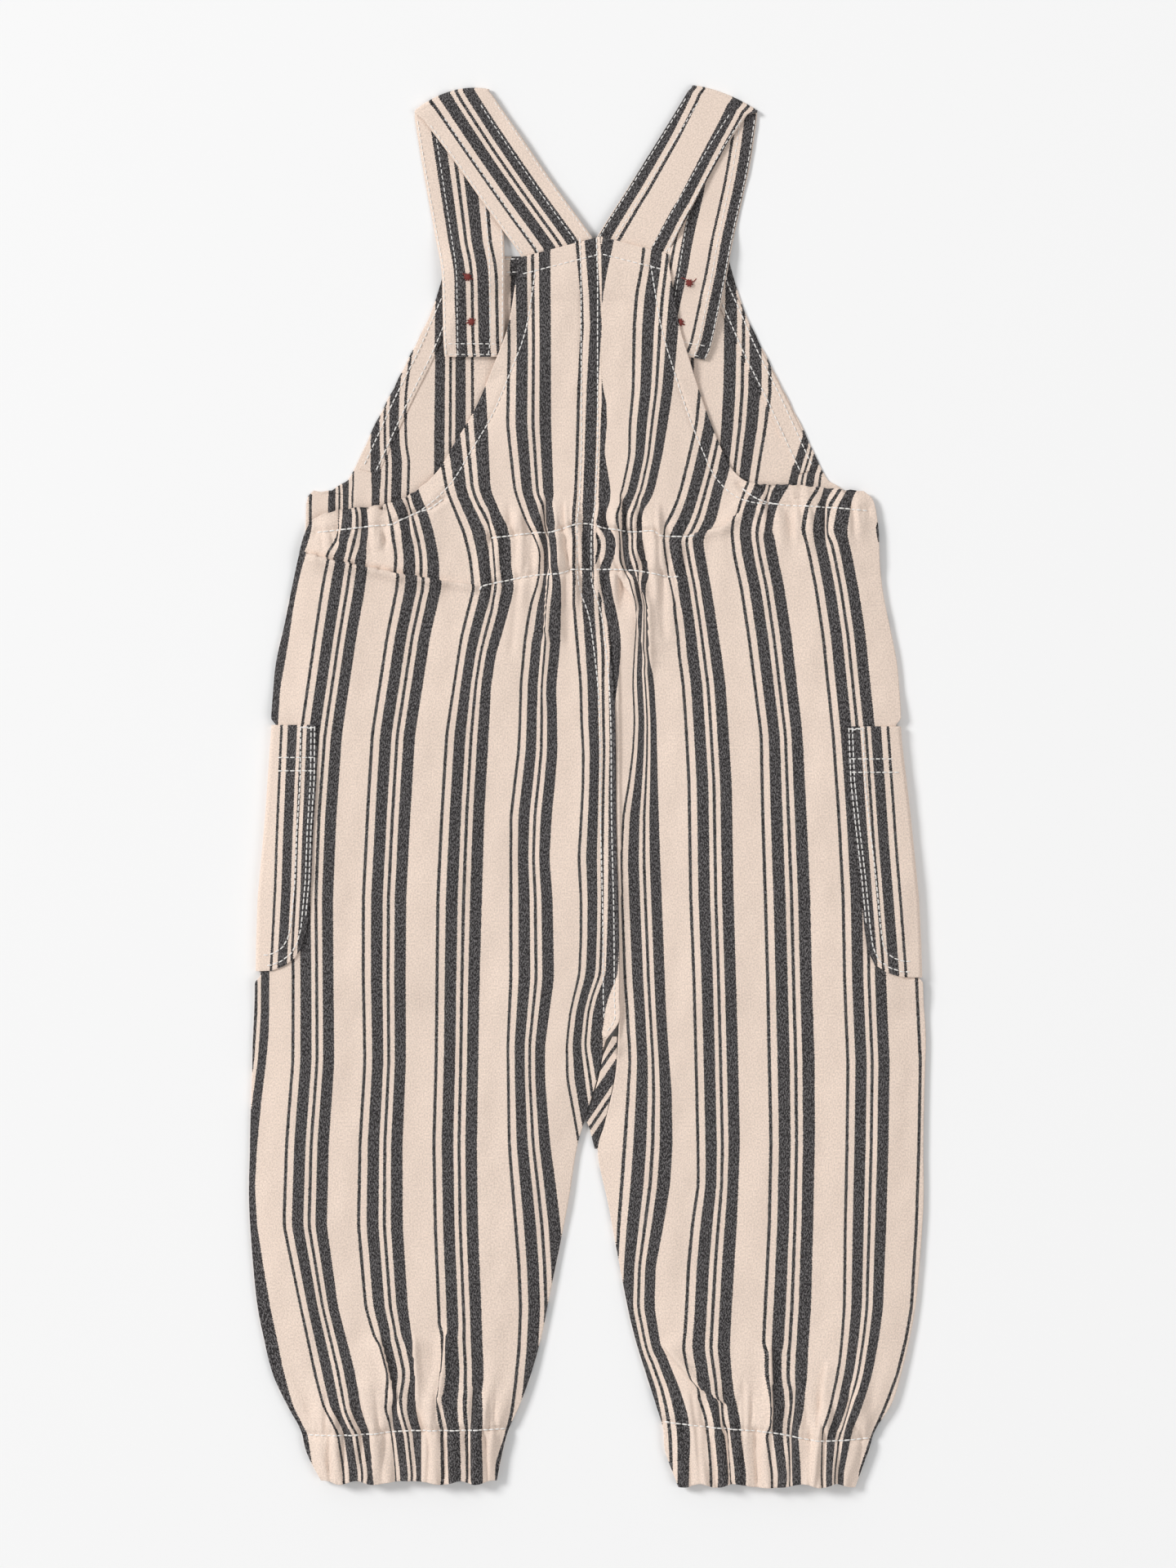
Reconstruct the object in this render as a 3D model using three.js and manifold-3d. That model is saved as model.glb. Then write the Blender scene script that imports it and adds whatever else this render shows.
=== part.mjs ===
// Kids bib overalls laid flat on their front, back up. Millimetres, +Z up, straps toward +Y,
// +X to the right as seen from above. Every cloth piece is a wall of even thickness over a table
// of sections, so the pieces lie on each other as they do on a table.
import * as THREE from "three";
import Module from "manifold-3d";

const wasm = await Module();
wasm.setup();

// Driving sizes
const CLOTH = 1.1;
const FACING = 0.8;
const STRAP = 1.2;
const POCKET = 1.0;
const GAP = 0.35;
const FACING_GAP = 0.5;
const STRAP_GAP = 0.55;
const SEAM = 0.16;
const LOFT_BODY = 2.3;
const LOFT_REACH = 26;
const CUFF_GATHERS = 9;
const CUFF_TOP = -260;
const CUFF_STITCH = -304;
const HEM = -330;

// A table with named columns, one row for each section, fold or piece.
function table(names, rows) {
  return rows.map((row) => Object.fromEntries(names.map((name, i) => [name, row[i]])));
}

// Sections of the back's bib, from the centre-back seam to the armhole's edge.
// cells is how many cells a section has, and steps how many rows lead to the next section.
const SECTION = ["inX", "inY", "outX", "outY", "cells", "steps"];
const BACK_BIB = {
  left: table(SECTION, [
    [6, 257, -33, 247, 10, 3],
    [6.5, 236, -34.5, 234, 10, 2],
    [6.5, 215, -38, 214.5, 10, 2],
    [6.5, 196, -44.5, 197, 10, 2],
    [6.5, 176.5, -53, 177, 10, 2],
    [6.5, 159.5, -62.5, 161, 14, 1],
    [6, 146, -71.5, 146.5, 18, 1],
    [5.5, 137, -84, 135.5, 22, 1],
    [5, 129, -99.5, 130.5, 28, 1],
    [4, 123, -118, 127, 32, 1],
    [3.8, 120, -132.5, 134.5, 34, 1],
  ]),
  right: table(SECTION, [
    [6, 257, 37.5, 249, 8, 3],
    [6.5, 236, 39.5, 236, 8, 2],
    [6.5, 215, 43, 216, 8, 2],
    [6.5, 196, 48, 199, 8, 2],
    [6.5, 176.5, 54.5, 179, 10, 2],
    [6.5, 159.5, 61.5, 161, 14, 1],
    [6, 146, 68, 148, 18, 1],
    [5.5, 137, 78, 141, 22, 1],
    [5, 129, 97, 140, 28, 1],
    [4, 123, 119, 138, 32, 1],
    [3.8, 120, 132.5, 135.5, 34, 1],
  ]),
};

// Sections of the hip and leg, which the front shares. The last one is the cuff's hem.
const BODY = {
  left: table(SECTION, [
    [3.6, 116, -134.5, 123, 34, 2],
    [3.5, 105, -137.5, 104, 34, 2],
    [4, 94, -140, 90, 34, 1],
    [6.2, 80, -143, 75, 18, 1],
    [8, 58, -147, 57, 10, 1],
    [9.4, 40, -148.6, 40, 8, 2],
    [10.5, 20, -150, 20, 8, 2],
    [12.5, -16, -152.5, -16, 8, 2],
    [14, -54, -156, -54, 8, 2],
    [14.3, -76, -156.7, -76, 8, 3],
    [14.4, -100, -157, -100, 8, 1],
    [14.2, -112, -157.5, -112, 8, 1],
    [8, -122, -158, -123, 8, 1],
    [5, -136, -158.3, -136, 8, 1],
    [-1.2, -157, -159, -157, 8, 1],
    [-5.5, -172, -159.3, -172, 8, 1],
    [-10, -200, -159.6, -200, 8, 1],
    [-18, -240, -156.5, -240, 10, 1],
    [-22, -260, -153, -260, 36, 1],
    [-27, -278, -148.5, -278, 36, 1],
    [-32.5, -293, -141.5, -293, 36, 1],
    [-37.5, CUFF_STITCH, -135.5, CUFF_STITCH, 36, 1],
    [-40.5, -315, -132.5, -315, 36, 1],
    [-43, -328.5, -126, -328.5, 36, 0],
  ]),
  right: table(SECTION, [
    [3.6, 116, 136.5, 123, 34, 2],
    [3.5, 105, 137.5, 104, 34, 2],
    [4, 94, 139, 90, 34, 1],
    [6.2, 80, 142, 75, 18, 1],
    [8, 58, 145.5, 57, 10, 1],
    [9.4, 40, 147, 40, 8, 2],
    [10.5, 20, 148.2, 20, 8, 2],
    [12.5, -16, 152.5, -16, 8, 2],
    [14, -54, 156.3, -54, 8, 2],
    [14.3, -76, 157.4, -76, 8, 3],
    [14.4, -100, 158, -100, 8, 1],
    [14.2, -112, 158.8, -112, 8, 1],
    [14.2, -122, 159.2, -122, 8, 1],
    [12.7, -139, 158.7, -139, 8, 1],
    [8.3, -159, 158.2, -159, 8, 1],
    [4.8, -174, 158, -174, 8, 1],
    [10, -200, 158, -200, 8, 1],
    [17.5, -240, 155, -240, 10, 1],
    [22, -260, 151.8, -260, 36, 1],
    [27.5, -278, 147.5, -278, 36, 1],
    [32, -292, 143, -292, 36, 1],
    [35.5, CUFF_STITCH, 135.5, CUFF_STITCH, 36, 1],
    [36.6, -315, 131.8, -315, 36, 1],
    [42.5, HEM, 126, HEM, 36, 0],
  ]),
};

// Sections of the front's bib, on the right; the left is its mirror image but for the centre.
const FRONT_CENTRE = 3;
const FRONT_BIB = table(SECTION, [
  [FRONT_CENTRE, 248, 66, 248, 14, 2],
  [FRONT_CENTRE, 236.5, 67.4, 236.5, 14, 3],
  [FRONT_CENTRE, 223, 73.5, 223, 14, 3],
  [FRONT_CENTRE, 204.5, 82, 204.5, 14, 2],
  [FRONT_CENTRE, 197, 86, 197, 10, 1],
  [FRONT_CENTRE, 184, 92.3, 184.5, 8, 1],
  [FRONT_CENTRE, 165, 102.2, 165, 8, 1],
  [3.6, 146, 111, 146, 10, 1],
  [3.8, 132, 117.5, 139.6, 14, 1],
  [3.8, 124, 124, 137, 16, 1],
  [3.8, 120, 132, 135.5, 16, 1],
]);

// The gusset's sliver between the two halves. Below the crotch's point its left edge is the
// crotch itself, where it turns under.
const CROTCH_Y = -157;
const GUSSET = table(
  ["y", "leftX", "rightX"],
  [
    [-119, 11.5, 13.4],
    [-128, 7.2, 13.5],
    [-138, 5.3, 12.4],
    [-148, 2.6, 10.3],
    [CROTCH_Y, -0.4, 8.4],
    [-163, 2.6, 6.9],
    [-172, 4.1, 4.9],
  ],
);

// Folded straps. Each run is a row for each section, from its left edge to its right edge, and
// bow is how far the section's middle stands past the straight line between them.
const RUN = ["leftX", "leftY", "rightX", "rightY", "bow", "steps"];
const STRAPS = {
  left: {
    lower: table(RUN, [
      [-67.5, 201, -41, 201, 0, 1],
      [-68, 208, -39.5, 208, 0, 8],
      [-69, 242, -39.2, 242, 0, 3],
      [-72, 258, -39.6, 258, 0, 3],
      [-78, 291, -42, 294, 0, 2],
      [-81.4, 313, -45.5, 322, 1, 1],
    ]),
    fold: { leftX: -81.2, leftY: 316.3, rightX: -46.2, rightY: 325, bow: 4.2 },
    upper: table(RUN, [
      [-77.5, 312.5, -45, 323, 2, 2],
      [-63, 293, -32, 305.5, 0, 2],
      [-47, 270, -15.5, 281.5, 0, 2],
      [-34, 252, 0, 260, 0, 1],
      [-31.4, 248, 2.4, 255.5, 0, 1],
      [-27.5, 241, 3.2, 249, 0, 0],
    ]),
  },
  right: {
    lower: table(RUN, [
      [31, 204, 55.5, 199.5, 0, 1],
      [31, 211, 58.4, 206.5, 0, 7],
      [35.8, 240, 65.4, 240, 0, 3],
      [38.2, 257, 68.6, 257, 0, 3],
      [43.5, 292, 76, 290, 0, 2],
      [48.5, 326, 80, 313, 0.5, 1],
    ]),
    fold: { leftX: 49, leftY: 329.2, rightX: 80.4, rightY: 316, bow: 1.6 },
    upper: table(RUN, [
      [47.5, 326.5, 77, 312.5, 0.5, 2],
      [34.5, 305.5, 63.5, 297.5, 0, 2],
      [19.5, 281.5, 49.5, 272, 0, 2],
      [5.6, 259.5, 39.2, 252.5, 0, 1],
      [4.4, 256, 36.8, 248.5, 0, 1],
      [4.2, 249, 33.5, 242, 0, 0],
    ]),
  },
};
const STRAP_CELLS = 5;
const FOLD_ROOM = 0.6;

// Patch pockets: how far the back flap and the front flap reach in from the side.
const POCKET_SECTION = ["y", "backX", "frontX"];
const POCKETS = {
  left: table(POCKET_SECTION, [
    [27.3, -127.7, -82],
    [2, -127.9, -82],
    [-21, -129.4, -82],
    [-45, -130.3, -82],
    [-68, -132.4, -83],
    [-76, -134.4, -85],
    [-82, -138, -90],
    [-86, -143.5, -99],
    [-88, -149, -110],
  ]),
  right: table(POCKET_SECTION, [
    [26.6, 121.8, 76],
    [1, 122.8, 76],
    [-21, 125.2, 76],
    [-45, 128, 76],
    [-68, 130.2, 77],
    [-78, 131.6, 80],
    [-85, 135, 86],
    [-89, 141, 95],
    [-91, 147.5, 106],
  ]),
};
const POCKET_INSET = 2.7;
const POCKET_CLEAR = 0.5;
const POCKET_LIFT = POCKET + GAP;

// Buttons on the front's outside, under the cloth, and the humps that they raise.
const BUTTON = { radius: 6.5, height: 1.6, shank: 0.8, slot: 6.8, slotHalf: 1.2, fall: 14 };
const BUTTON_PLACES = table(
  ["name", "x", "y"],
  [
    ["button_left_upper", -56.6, 237.5],
    ["button_left_lower", -55.2, 217],
    ["button_right_upper", 48, 235.5],
    ["button_right_lower", 44, 217],
  ],
);
const HUMP = BUTTON.height + GAP;

// Puffs between the pinches of the two elastic rows at the back of the waist.
const WAIST_ROWS = [119, 100];
const WAIST_PUFFS = table(
  ["x", "half", "top", "bottom", "height"],
  [
    [-42, 4.5, 127, 88, 1.0],
    [-32.5, 4.5, 128, 86, 1.3],
    [-23.5, 4, 129, 84, 1.6],
    [-14.5, 4.2, 130, 70, 1.9],
    [-6, 4, 130, 84, 1.4],
    [3.5, 4.2, 130, 84, 1.5],
    [12.5, 4.2, 130, 86, 1.5],
    [22, 4.2, 130, 80, 1.8],
    [32, 4.5, 128, 86, 1.4],
    [42, 4.5, 127, 90, 1.0],
  ],
);

// Puffs of the side casings, the same on the front under them.
const CASING_PUFFS = table(
  ["x", "half", "top", "bottom", "height"],
  [
    [-122, 5, 136, 108, 0.8],
    [-111, 5, 134, 106, 0.9],
    [-100, 5, 135, 108, 0.9],
    [-89, 5, 138, 110, 0.7],
    [79, 5, 142, 112, 0.7],
    [91, 5, 144, 110, 0.9],
    [104, 5, 143, 110, 0.9],
    [118, 5, 142, 110, 0.8],
  ],
);

// The largest folds: a ridge along a line of three points, with its own width on each side.
// left is the width on the left hand when walking from the first point to the last.
const FOLDS = table(
  ["x1", "y1", "x2", "y2", "x3", "y3", "height", "left", "right"],
  [
    [-137, 109, -89.7, 98, -49, 92, 1.7, 13, 3.5],
    [46, 116, 63, 121, 74, 134, 1.2, 4, 6],
    [-20, 92, -21, 64, -22, 36, 1.5, 5, 5],
    [22.5, 100, 27, 80, 28, 36, 1.4, 5, 5],
    [13, 60, 15.5, -40, 15, -112, 1.1, 7, 4],
    [-98, -265, -94, -276, -90, -288, 1.3, 5, 5],
    [-83, -258, -82, -270, -80, -284, 1.2, 4, 5],
    [-67, -258, -69, -275, -73.5, -293, 1.4, 5, 5],
    [36, -266, 50, -282, 66, -292, 1.7, 6, 5],
    [87, -262, 86.5, -282, 86, -302, 1.5, 5, 5],
  ],
);

// Small helpers: an eased step from 0 to 1, a mixed value, and a window with soft sides.
const clamp = (t) => Math.min(1, Math.max(0, t));
const ease = (t) => clamp(t) ** 2 * (3 - 2 * clamp(t));
const mix = (a, b, t) => a + (b - a) * t;

function windowed(value, low, high, fall) {
  return ease((value - low + fall) / fall) * ease((high + fall - value) / fall);
}

// A smooth curve through a table's numbers, from row i to row i + 1.
function between(rows, i, t, column) {
  const at = (k) => rows[Math.min(rows.length - 1, Math.max(0, k))][column];
  const [a, b, c, d] = [at(i - 1), at(i), at(i + 1), at(i + 2)];
  const slopeIn = (c - a) / 2;
  const slopeOut = (d - b) / 2;
  const [t2, t3] = [t * t, t * t * t];
  return (2 * t3 - 3 * t2 + 1) * b + (t3 - 2 * t2 + t) * slopeIn
    + (3 * t2 - 2 * t3) * c + (t3 - t2) * slopeOut;
}

// A table's sections with the rows between them filled in.
function refine(rows, columns) {
  const fine = [];
  rows.forEach((row, i) => {
    fine.push({ ...row });
    for (let k = 1; k < (row.steps ?? 1) && i < rows.length - 1; k += 1) {
      const t = k / row.steps;
      const made = { cells: row.cells };
      columns.forEach((column) => {
        made[column] = between(rows, i, t, column);
      });
      fine.push(made);
    }
  });
  return fine;
}

// A body section's two ends at height y, from the unrefined table.
function ends(side, y) {
  const rows = BODY[side];
  let i = 0;
  while (i < rows.length - 2 && rows[i + 1].outY > y) i += 1;
  const outT = clamp((rows[i].outY - y) / (rows[i].outY - rows[i + 1].outY));
  let j = 0;
  while (j < rows.length - 2 && rows[j + 1].inY > y) j += 1;
  const inT = clamp((rows[j].inY - y) / (rows[j].inY - rows[j + 1].inY));
  return {
    inX: mix(rows[j].inX, rows[j + 1].inX, inT),
    outX: mix(rows[i].outX, rows[i + 1].outX, outT),
  };
}

// How far a point lies from a line of points.
function distance(line, x, y) {
  let least = Infinity;
  for (let i = 0; i < line.length - 1; i += 1) {
    const [a, b] = [line[i], line[i + 1]];
    const [dx, dy] = [b[0] - a[0], b[1] - a[1]];
    const t = clamp(((x - a[0]) * dx + (y - a[1]) * dy) / (dx * dx + dy * dy));
    least = Math.min(least, Math.hypot(x - a[0] - t * dx, y - a[1] - t * dy));
  }
  return least;
}

// The free edges of each half of the back: bib top, armhole, casing, side, and the inseam.
function freeEdges(side) {
  const bib = BACK_BIB[side];
  const inseam = BODY[side].filter((row) => row.inY <= CROTCH_Y - (side === "left" ? 0 : 2));
  return [
    [[bib[0].inX, bib[0].inY], ...bib.map((row) => [row.outX, row.outY]),
      ...BODY[side].map((row) => [row.outX - Math.sign(row.outX) * pocketInset(row.outY), row.outY])],
    inseam.map((row) => [row.inX, row.inY]),
  ];
}

// In the pocket's stretch the panels' side edge stands back, to let the pocket wrap round it.
function pocketInset(y) {
  return POCKET_INSET * windowed(y, -94, 30, 7);
}

const EDGES = { left: freeEdges("left"), right: freeEdges("right") };

function edgeDistance(side, x, y) {
  return Math.min(...EDGES[side].map((line) => distance(line, x, y)));
}

const PUFF_FADE = 14;

// A puff runs along Y: a round ridge across, fading at its two ends, held down at stitch rows.
function puff(row, x, y) {
  const across = Math.abs(x - row.x) / row.half;
  if (across >= 1) return 0;
  const along = windowed(y, row.bottom + PUFF_FADE / 2, row.top - PUFF_FADE / 2, PUFF_FADE);
  return row.height * Math.cos((across * Math.PI) / 2) ** 2 * along;
}

function heldDown(y) {
  return WAIST_ROWS.reduce((keep, at) => keep * (1 - 0.4 * Math.exp(-(((y - at) / 2.2) ** 2))), 1);
}

// A fold is a ridge along its line, as wide as its table says on each side.
function fold(row, x, y) {
  const line = [[row.x1, row.y1], [row.x2, row.y2], [row.x3, row.y3]];
  let best = 0;
  for (let i = 0; i < 2; i += 1) {
    const [a, b] = [line[i], line[i + 1]];
    const [dx, dy] = [b[0] - a[0], b[1] - a[1]];
    const long = Math.hypot(dx, dy);
    const t = ((x - a[0]) * dx + (y - a[1]) * dy) / (long * long);
    const off = (dx * (y - a[1]) - dy * (x - a[0])) / long;
    const past = Math.max(0, -t, t - 1) * long;
    const width = off > 0 ? row.left : row.right;
    const whole = (i + clamp(t)) / 2;
    const taper = Math.sin(Math.PI * mix(0.12, 0.88, whole));
    const away = Math.hypot(off / width, past / 8);
    if (away < 1) best = Math.max(best, row.height * taper * Math.cos((away * Math.PI) / 2) ** 2);
  }
  return best;
}

// Cuff gathers: even ridges across the leg, highest at the hem and gone above the knee.
function cuffRidge(side, x, y, height, shift) {
  if (y > CUFF_TOP) return 0;
  const { inX, outX } = ends(side, y);
  const s = (x - inX) / (outX - inX);
  const wave = 0.5 - 0.5 * Math.cos(2 * Math.PI * (CUFF_GATHERS * s + shift * Math.sin(Math.PI * 2 * s)));
  const fade = ease((CUFF_TOP - y) / (CUFF_TOP - CUFF_STITCH));
  const sides = ease(clamp(s * 9)) * ease(clamp((1 - s) * 9));
  return height * wave * fade * sides;
}

// Lift over the pocket's front flap, which lies on the floor under the front. It starts well
// before the flap's inner edge, because the panels' cells are wide there.
const FLAP_RAMP = { across: 24, before: 10, along: 16, past: 5 };

function pocketLift(x, y) {
  const rows = POCKETS[x < 0 ? "left" : "right"];
  const inner = Math.abs(rows[0].frontX) - FLAP_RAMP.before - FLAP_RAMP.across;
  const [high, low] = [rows[0].y + FLAP_RAMP.past, rows[rows.length - 1].y - FLAP_RAMP.past];
  return POCKET_LIFT * ease((Math.abs(x) - inner) / FLAP_RAMP.across) * windowed(y, low, high, FLAP_RAMP.along);
}

function buttonLift(x, y) {
  return HUMP * Math.max(...BUTTON_PLACES.map((at) => {
    const away = Math.hypot(x - at.x, y - at.y);
    return 1 - ease((away - BUTTON.radius - 1.5) / BUTTON.fall);
  }));
}

// Undersides of the layers, from the floor up
const casingLift = (x, y) => 0.85 * windowed(y, 106, 145, 10) * ease((Math.abs(x) - 66) / 10);

function frontUnder(x, y, side) {
  const puffs = Math.max(...CASING_PUFFS.map((row) => puff(row, x, y)));
  const cuffs = cuffRidge(side, x, y, 1.1, 0.35);
  return pocketLift(x, y) + buttonLift(x, y) + 0.8 * puffs + cuffs;
}

// A wall's top over its underside: the wall keeps its thickness on a slope.
function above(under, thick) {
  return (x, y, side) => {
    const step = 0.6;
    const slopeX = (under(x + step, y, side) - under(x - step, y, side)) / (2 * step);
    const slopeY = (under(x, y + step, side) - under(x, y - step, side)) / (2 * step);
    return under(x, y, side) + thick * Math.min(1.35, Math.hypot(1, slopeX, slopeY));
  };
}

const frontTop = above(frontUnder, CLOTH);
const facingUnder = (x, y, side) => frontTop(x, y, side) + FACING_GAP;
const facingTop = above(facingUnder, FACING);

// The front bib's top edge, and the facing's lower edge along it
const BIB_TOP = FRONT_BIB[0].inY;
const FACING_DEPTH = 8.5;

// A strap's lower run lies on the floor past the bib, then on the facing, then on the front.
function lowerRunUnder(x, y, side) {
  const onFront = frontTop(x, y, side) + STRAP_GAP;
  const onFacing = onFront + FACING + FACING_GAP;
  if (y > BIB_TOP + 0.5) return onFacing * (1 - ease((y - BIB_TOP - 1) / 16));
  const top = ease((y - (BIB_TOP - FACING_DEPTH - 10)) / 8);
  const facingX = mix(57, 72.8, clamp((240 - y) / 39));
  const armhole = ease((Math.abs(x) - facingX + 10) / 8);
  return mix(onFront, onFacing, Math.max(top, armhole));
}

// The upper run starts over the fold, lies over the lower run, and ends under the back's bib.
const UPPER_AT_FOLD = STRAP + FOLD_ROOM;
const UPPER_AT_BIB = CLOTH + FACING_GAP + FACING + GAP + 0.1;

function upperRunUnder(x, y, side) {
  const near = ease((292 - y) / 36);
  const hump = y > BIB_TOP + 2 ? 0 : buttonLift(x, y);
  return mix(UPPER_AT_FOLD, UPPER_AT_BIB, near) + hump;
}

// The back lies over the front, lifted by what is between them, with soft air in it.
function backBase(x, y, side) {
  const loft = LOFT_BODY * (1 - (1 - clamp(edgeDistance(side, x, y) / LOFT_REACH)) ** 2);
  const strapEnds = (STRAP + FACING + FACING_GAP + GAP + 0.3) * ease((y - 212) / 24) * windowed(x, -40, 50, 12);
  const right = windowed(x, 32, 80, 14);
  const left = windowed(x, -80, -40, 12);
  const lowerRuns = (STRAP + STRAP_GAP + 0.1) * Math.max(right, left) * ease((y - 186) / 13);
  const lift = Math.max(strapEnds, lowerRuns, loft * ease((250 - y) / 30));
  return CLOTH + GAP + pocketLift(x, y) + casingLift(x, y) + buttonLift(x, y) + lift + cuffBase(side, y);
}

const cuffBase = (side, y) => 1.0 * ease((CUFF_TOP - y) / 40);

function backUnder(x, y, side) {
  const waist = Math.max(...WAIST_PUFFS.map((row) => puff(row, x, y))) * heldDown(y);
  const casing = Math.max(...CASING_PUFFS.map((row) => puff(row, x, y)));
  const folds = Math.max(...FOLDS.map((row) => fold(row, x, y)));
  const cuffs = cuffRidge(side, x, y, 1.7, 0.22);
  return backBase(x, y, side) + Math.max(waist, casing, folds) + cuffs;
}

const backTop = above(backUnder, CLOTH);

// A closed mesh from a list of corner points and a list of triangles
function solid(points, triangles) {
  const geometry = new THREE.BufferGeometry();
  geometry.setAttribute("position", new THREE.Float32BufferAttribute(points.flat(), 3));
  geometry.setIndex(triangles.flat());
  geometry.computeVertexNormals();
  return geometry;
}

// Triangles between two rows of points that may have different numbers of cells
function zip(first, firstCount, second, secondCount, add) {
  let [i, j] = [0, 0];
  while (i < firstCount || j < secondCount) {
    const stepFirst = j >= secondCount || (i < firstCount && (i + 1) * secondCount <= (j + 1) * firstCount);
    if (stepFirst) {
      add(first + i, second + j, first + i + 1);
      i += 1;
    } else {
      add(first + i, second + j, second + j + 1);
      j += 1;
    }
  }
}

// A panel: each section is a row of points on the underside, with its twin on the top.
function panel(rows, side, under, top) {
  const points = [];
  const lines = rows.map((row) => {
    const start = points.length / 2;
    for (let k = 0; k <= row.cells; k += 1) {
      const t = k / row.cells;
      const x = mix(row.inX, row.outX, t);
      const y = mix(row.inY, row.outY, t);
      points.push([x, y, under(x, y, side)], [x, y, top(x, y, side)]);
    }
    return { start, cells: row.cells };
  });
  const flip = side === "right";
  const triangles = [];
  const low = (i) => 2 * i;
  const high = (i) => 2 * i + 1;
  const add = (a, b, c) => triangles.push(flip ? [a, b, c] : [a, c, b]);
  const wall = (a, b) => {
    add(low(a), low(b), high(b));
    add(low(a), high(b), high(a));
  };
  lines.forEach((line, r) => {
    if (r === lines.length - 1) return;
    const next = lines[r + 1];
    zip(line.start, line.cells, next.start, next.cells, (a, b, c) => {
      add(high(a), high(b), high(c));
      add(low(a), low(c), low(b));
    });
    wall(line.start, next.start);
    wall(next.start + next.cells, line.start + line.cells);
  });
  const [head, foot] = [lines[0], lines[lines.length - 1]];
  for (let k = 0; k < head.cells; k += 1) wall(head.start + k + 1, head.start + k);
  for (let k = 0; k < foot.cells; k += 1) wall(foot.start + k, foot.start + k + 1);
  return solid(points, triangles);
}

// A band: a grid of points on the wall's middle, moved half the thickness out on each side.
function band(grid, thick) {
  const [rows, columns] = [grid.length, grid[0].length];
  const at = (r, c) => grid[Math.min(rows - 1, Math.max(0, r))][Math.min(columns - 1, Math.max(0, c))];
  const points = [];
  for (let r = 0; r < rows; r += 1) {
    for (let c = 0; c < columns; c += 1) {
      const along = at(r + 1, c).clone().sub(at(r - 1, c));
      const across = at(r, c + 1).clone().sub(at(r, c - 1));
      const normal = along.cross(across).normalize().multiplyScalar(thick / 2);
      points.push(at(r, c).clone().sub(normal).toArray(), at(r, c).clone().add(normal).toArray());
    }
  }
  const triangles = [];
  const low = (r, c) => 2 * (r * columns + c);
  const high = (r, c) => low(r, c) + 1;
  const quad = (a, b, c, d) => triangles.push([a, b, c], [a, c, d]);
  for (let r = 0; r < rows - 1; r += 1) {
    for (let c = 0; c < columns - 1; c += 1) {
      quad(high(r, c), high(r + 1, c), high(r + 1, c + 1), high(r, c + 1));
      quad(low(r, c), low(r, c + 1), low(r + 1, c + 1), low(r + 1, c));
    }
    quad(low(r, 0), low(r + 1, 0), high(r + 1, 0), high(r, 0));
    quad(low(r + 1, columns - 1), low(r, columns - 1), high(r, columns - 1), high(r + 1, columns - 1));
  }
  for (let c = 0; c < columns - 1; c += 1) {
    quad(low(0, c + 1), low(0, c), high(0, c), high(0, c + 1));
    quad(low(rows - 1, c), low(rows - 1, c + 1), high(rows - 1, c + 1), high(rows - 1, c));
  }
  return solid(points, triangles);
}

// Solids for manifold-3d and back
function toManifold(geometry) {
  return new wasm.Manifold(new wasm.Mesh({
    numProp: 3,
    vertProperties: new Float32Array(geometry.attributes.position.array),
    triVerts: new Uint32Array(geometry.index.array),
  }));
}

function fromManifold(made) {
  const mesh = made.getMesh();
  const geometry = new THREE.BufferGeometry();
  geometry.setAttribute("position", new THREE.BufferAttribute(new Float32Array(mesh.vertProperties), 3));
  geometry.setIndex(new THREE.BufferAttribute(new Uint32Array(mesh.triVerts), 1));
  geometry.computeVertexNormals();
  return geometry;
}

// A plain box with merged corners, from its low corner to its high corner
function block(low, high) {
  const points = [];
  [low[2], high[2]].forEach((z) => {
    points.push([low[0], low[1], z], [high[0], low[1], z], [high[0], high[1], z], [low[0], high[1], z]);
  });
  return solid(points, [
    [0, 2, 1], [0, 3, 2], [4, 5, 6], [4, 6, 7], [0, 1, 5], [0, 5, 4],
    [1, 2, 6], [1, 6, 5], [2, 3, 7], [2, 7, 6], [3, 0, 4], [3, 4, 7],
  ]);
}

// Panel rows with the seam's gap at the centre and the pocket's room at the side
const OUTLINE = ["inX", "inY", "outX", "outY"];

function fitted(rows, side) {
  const out = side === "left" ? -1 : 1;
  return refine(rows, OUTLINE).map((row) => ({
    ...row,
    inX: row.inX + out * SEAM,
    outX: row.outX - out * pocketInset(row.outY),
  }));
}

function backPanel(side) {
  return panel(fitted([...BACK_BIB[side], ...BODY[side]], side), side, backUnder, backTop);
}

function frontRows(side) {
  const out = side === "left" ? -1 : 1;
  const bib = FRONT_BIB.map((row) => ({ ...row, outX: out * row.outX }));
  const plain = { 34: 16, 36: 27 };
  const body = BODY[side].map((row) => {
    const steps = row.inY > 90 ? 1 : row.steps;
    return { ...row, cells: plain[row.cells] ?? row.cells, steps };
  });
  return fitted([...bib, ...body], side);
}

function frontPanel(side) {
  const slots = BUTTON_PLACES.filter((at) => (at.x < 0) === (side === "left")).map((at) => toManifold(block(
    [at.x - BUTTON.slot, at.y - BUTTON.slotHalf, -1],
    [at.x + BUTTON.slot, at.y + BUTTON.slotHalf, 9],
  )));
  const whole = toManifold(panel(frontRows(side), side, frontUnder, frontTop));
  return fromManifold(slots.reduce((rest, slot) => rest.subtract(slot), whole));
}

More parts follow.
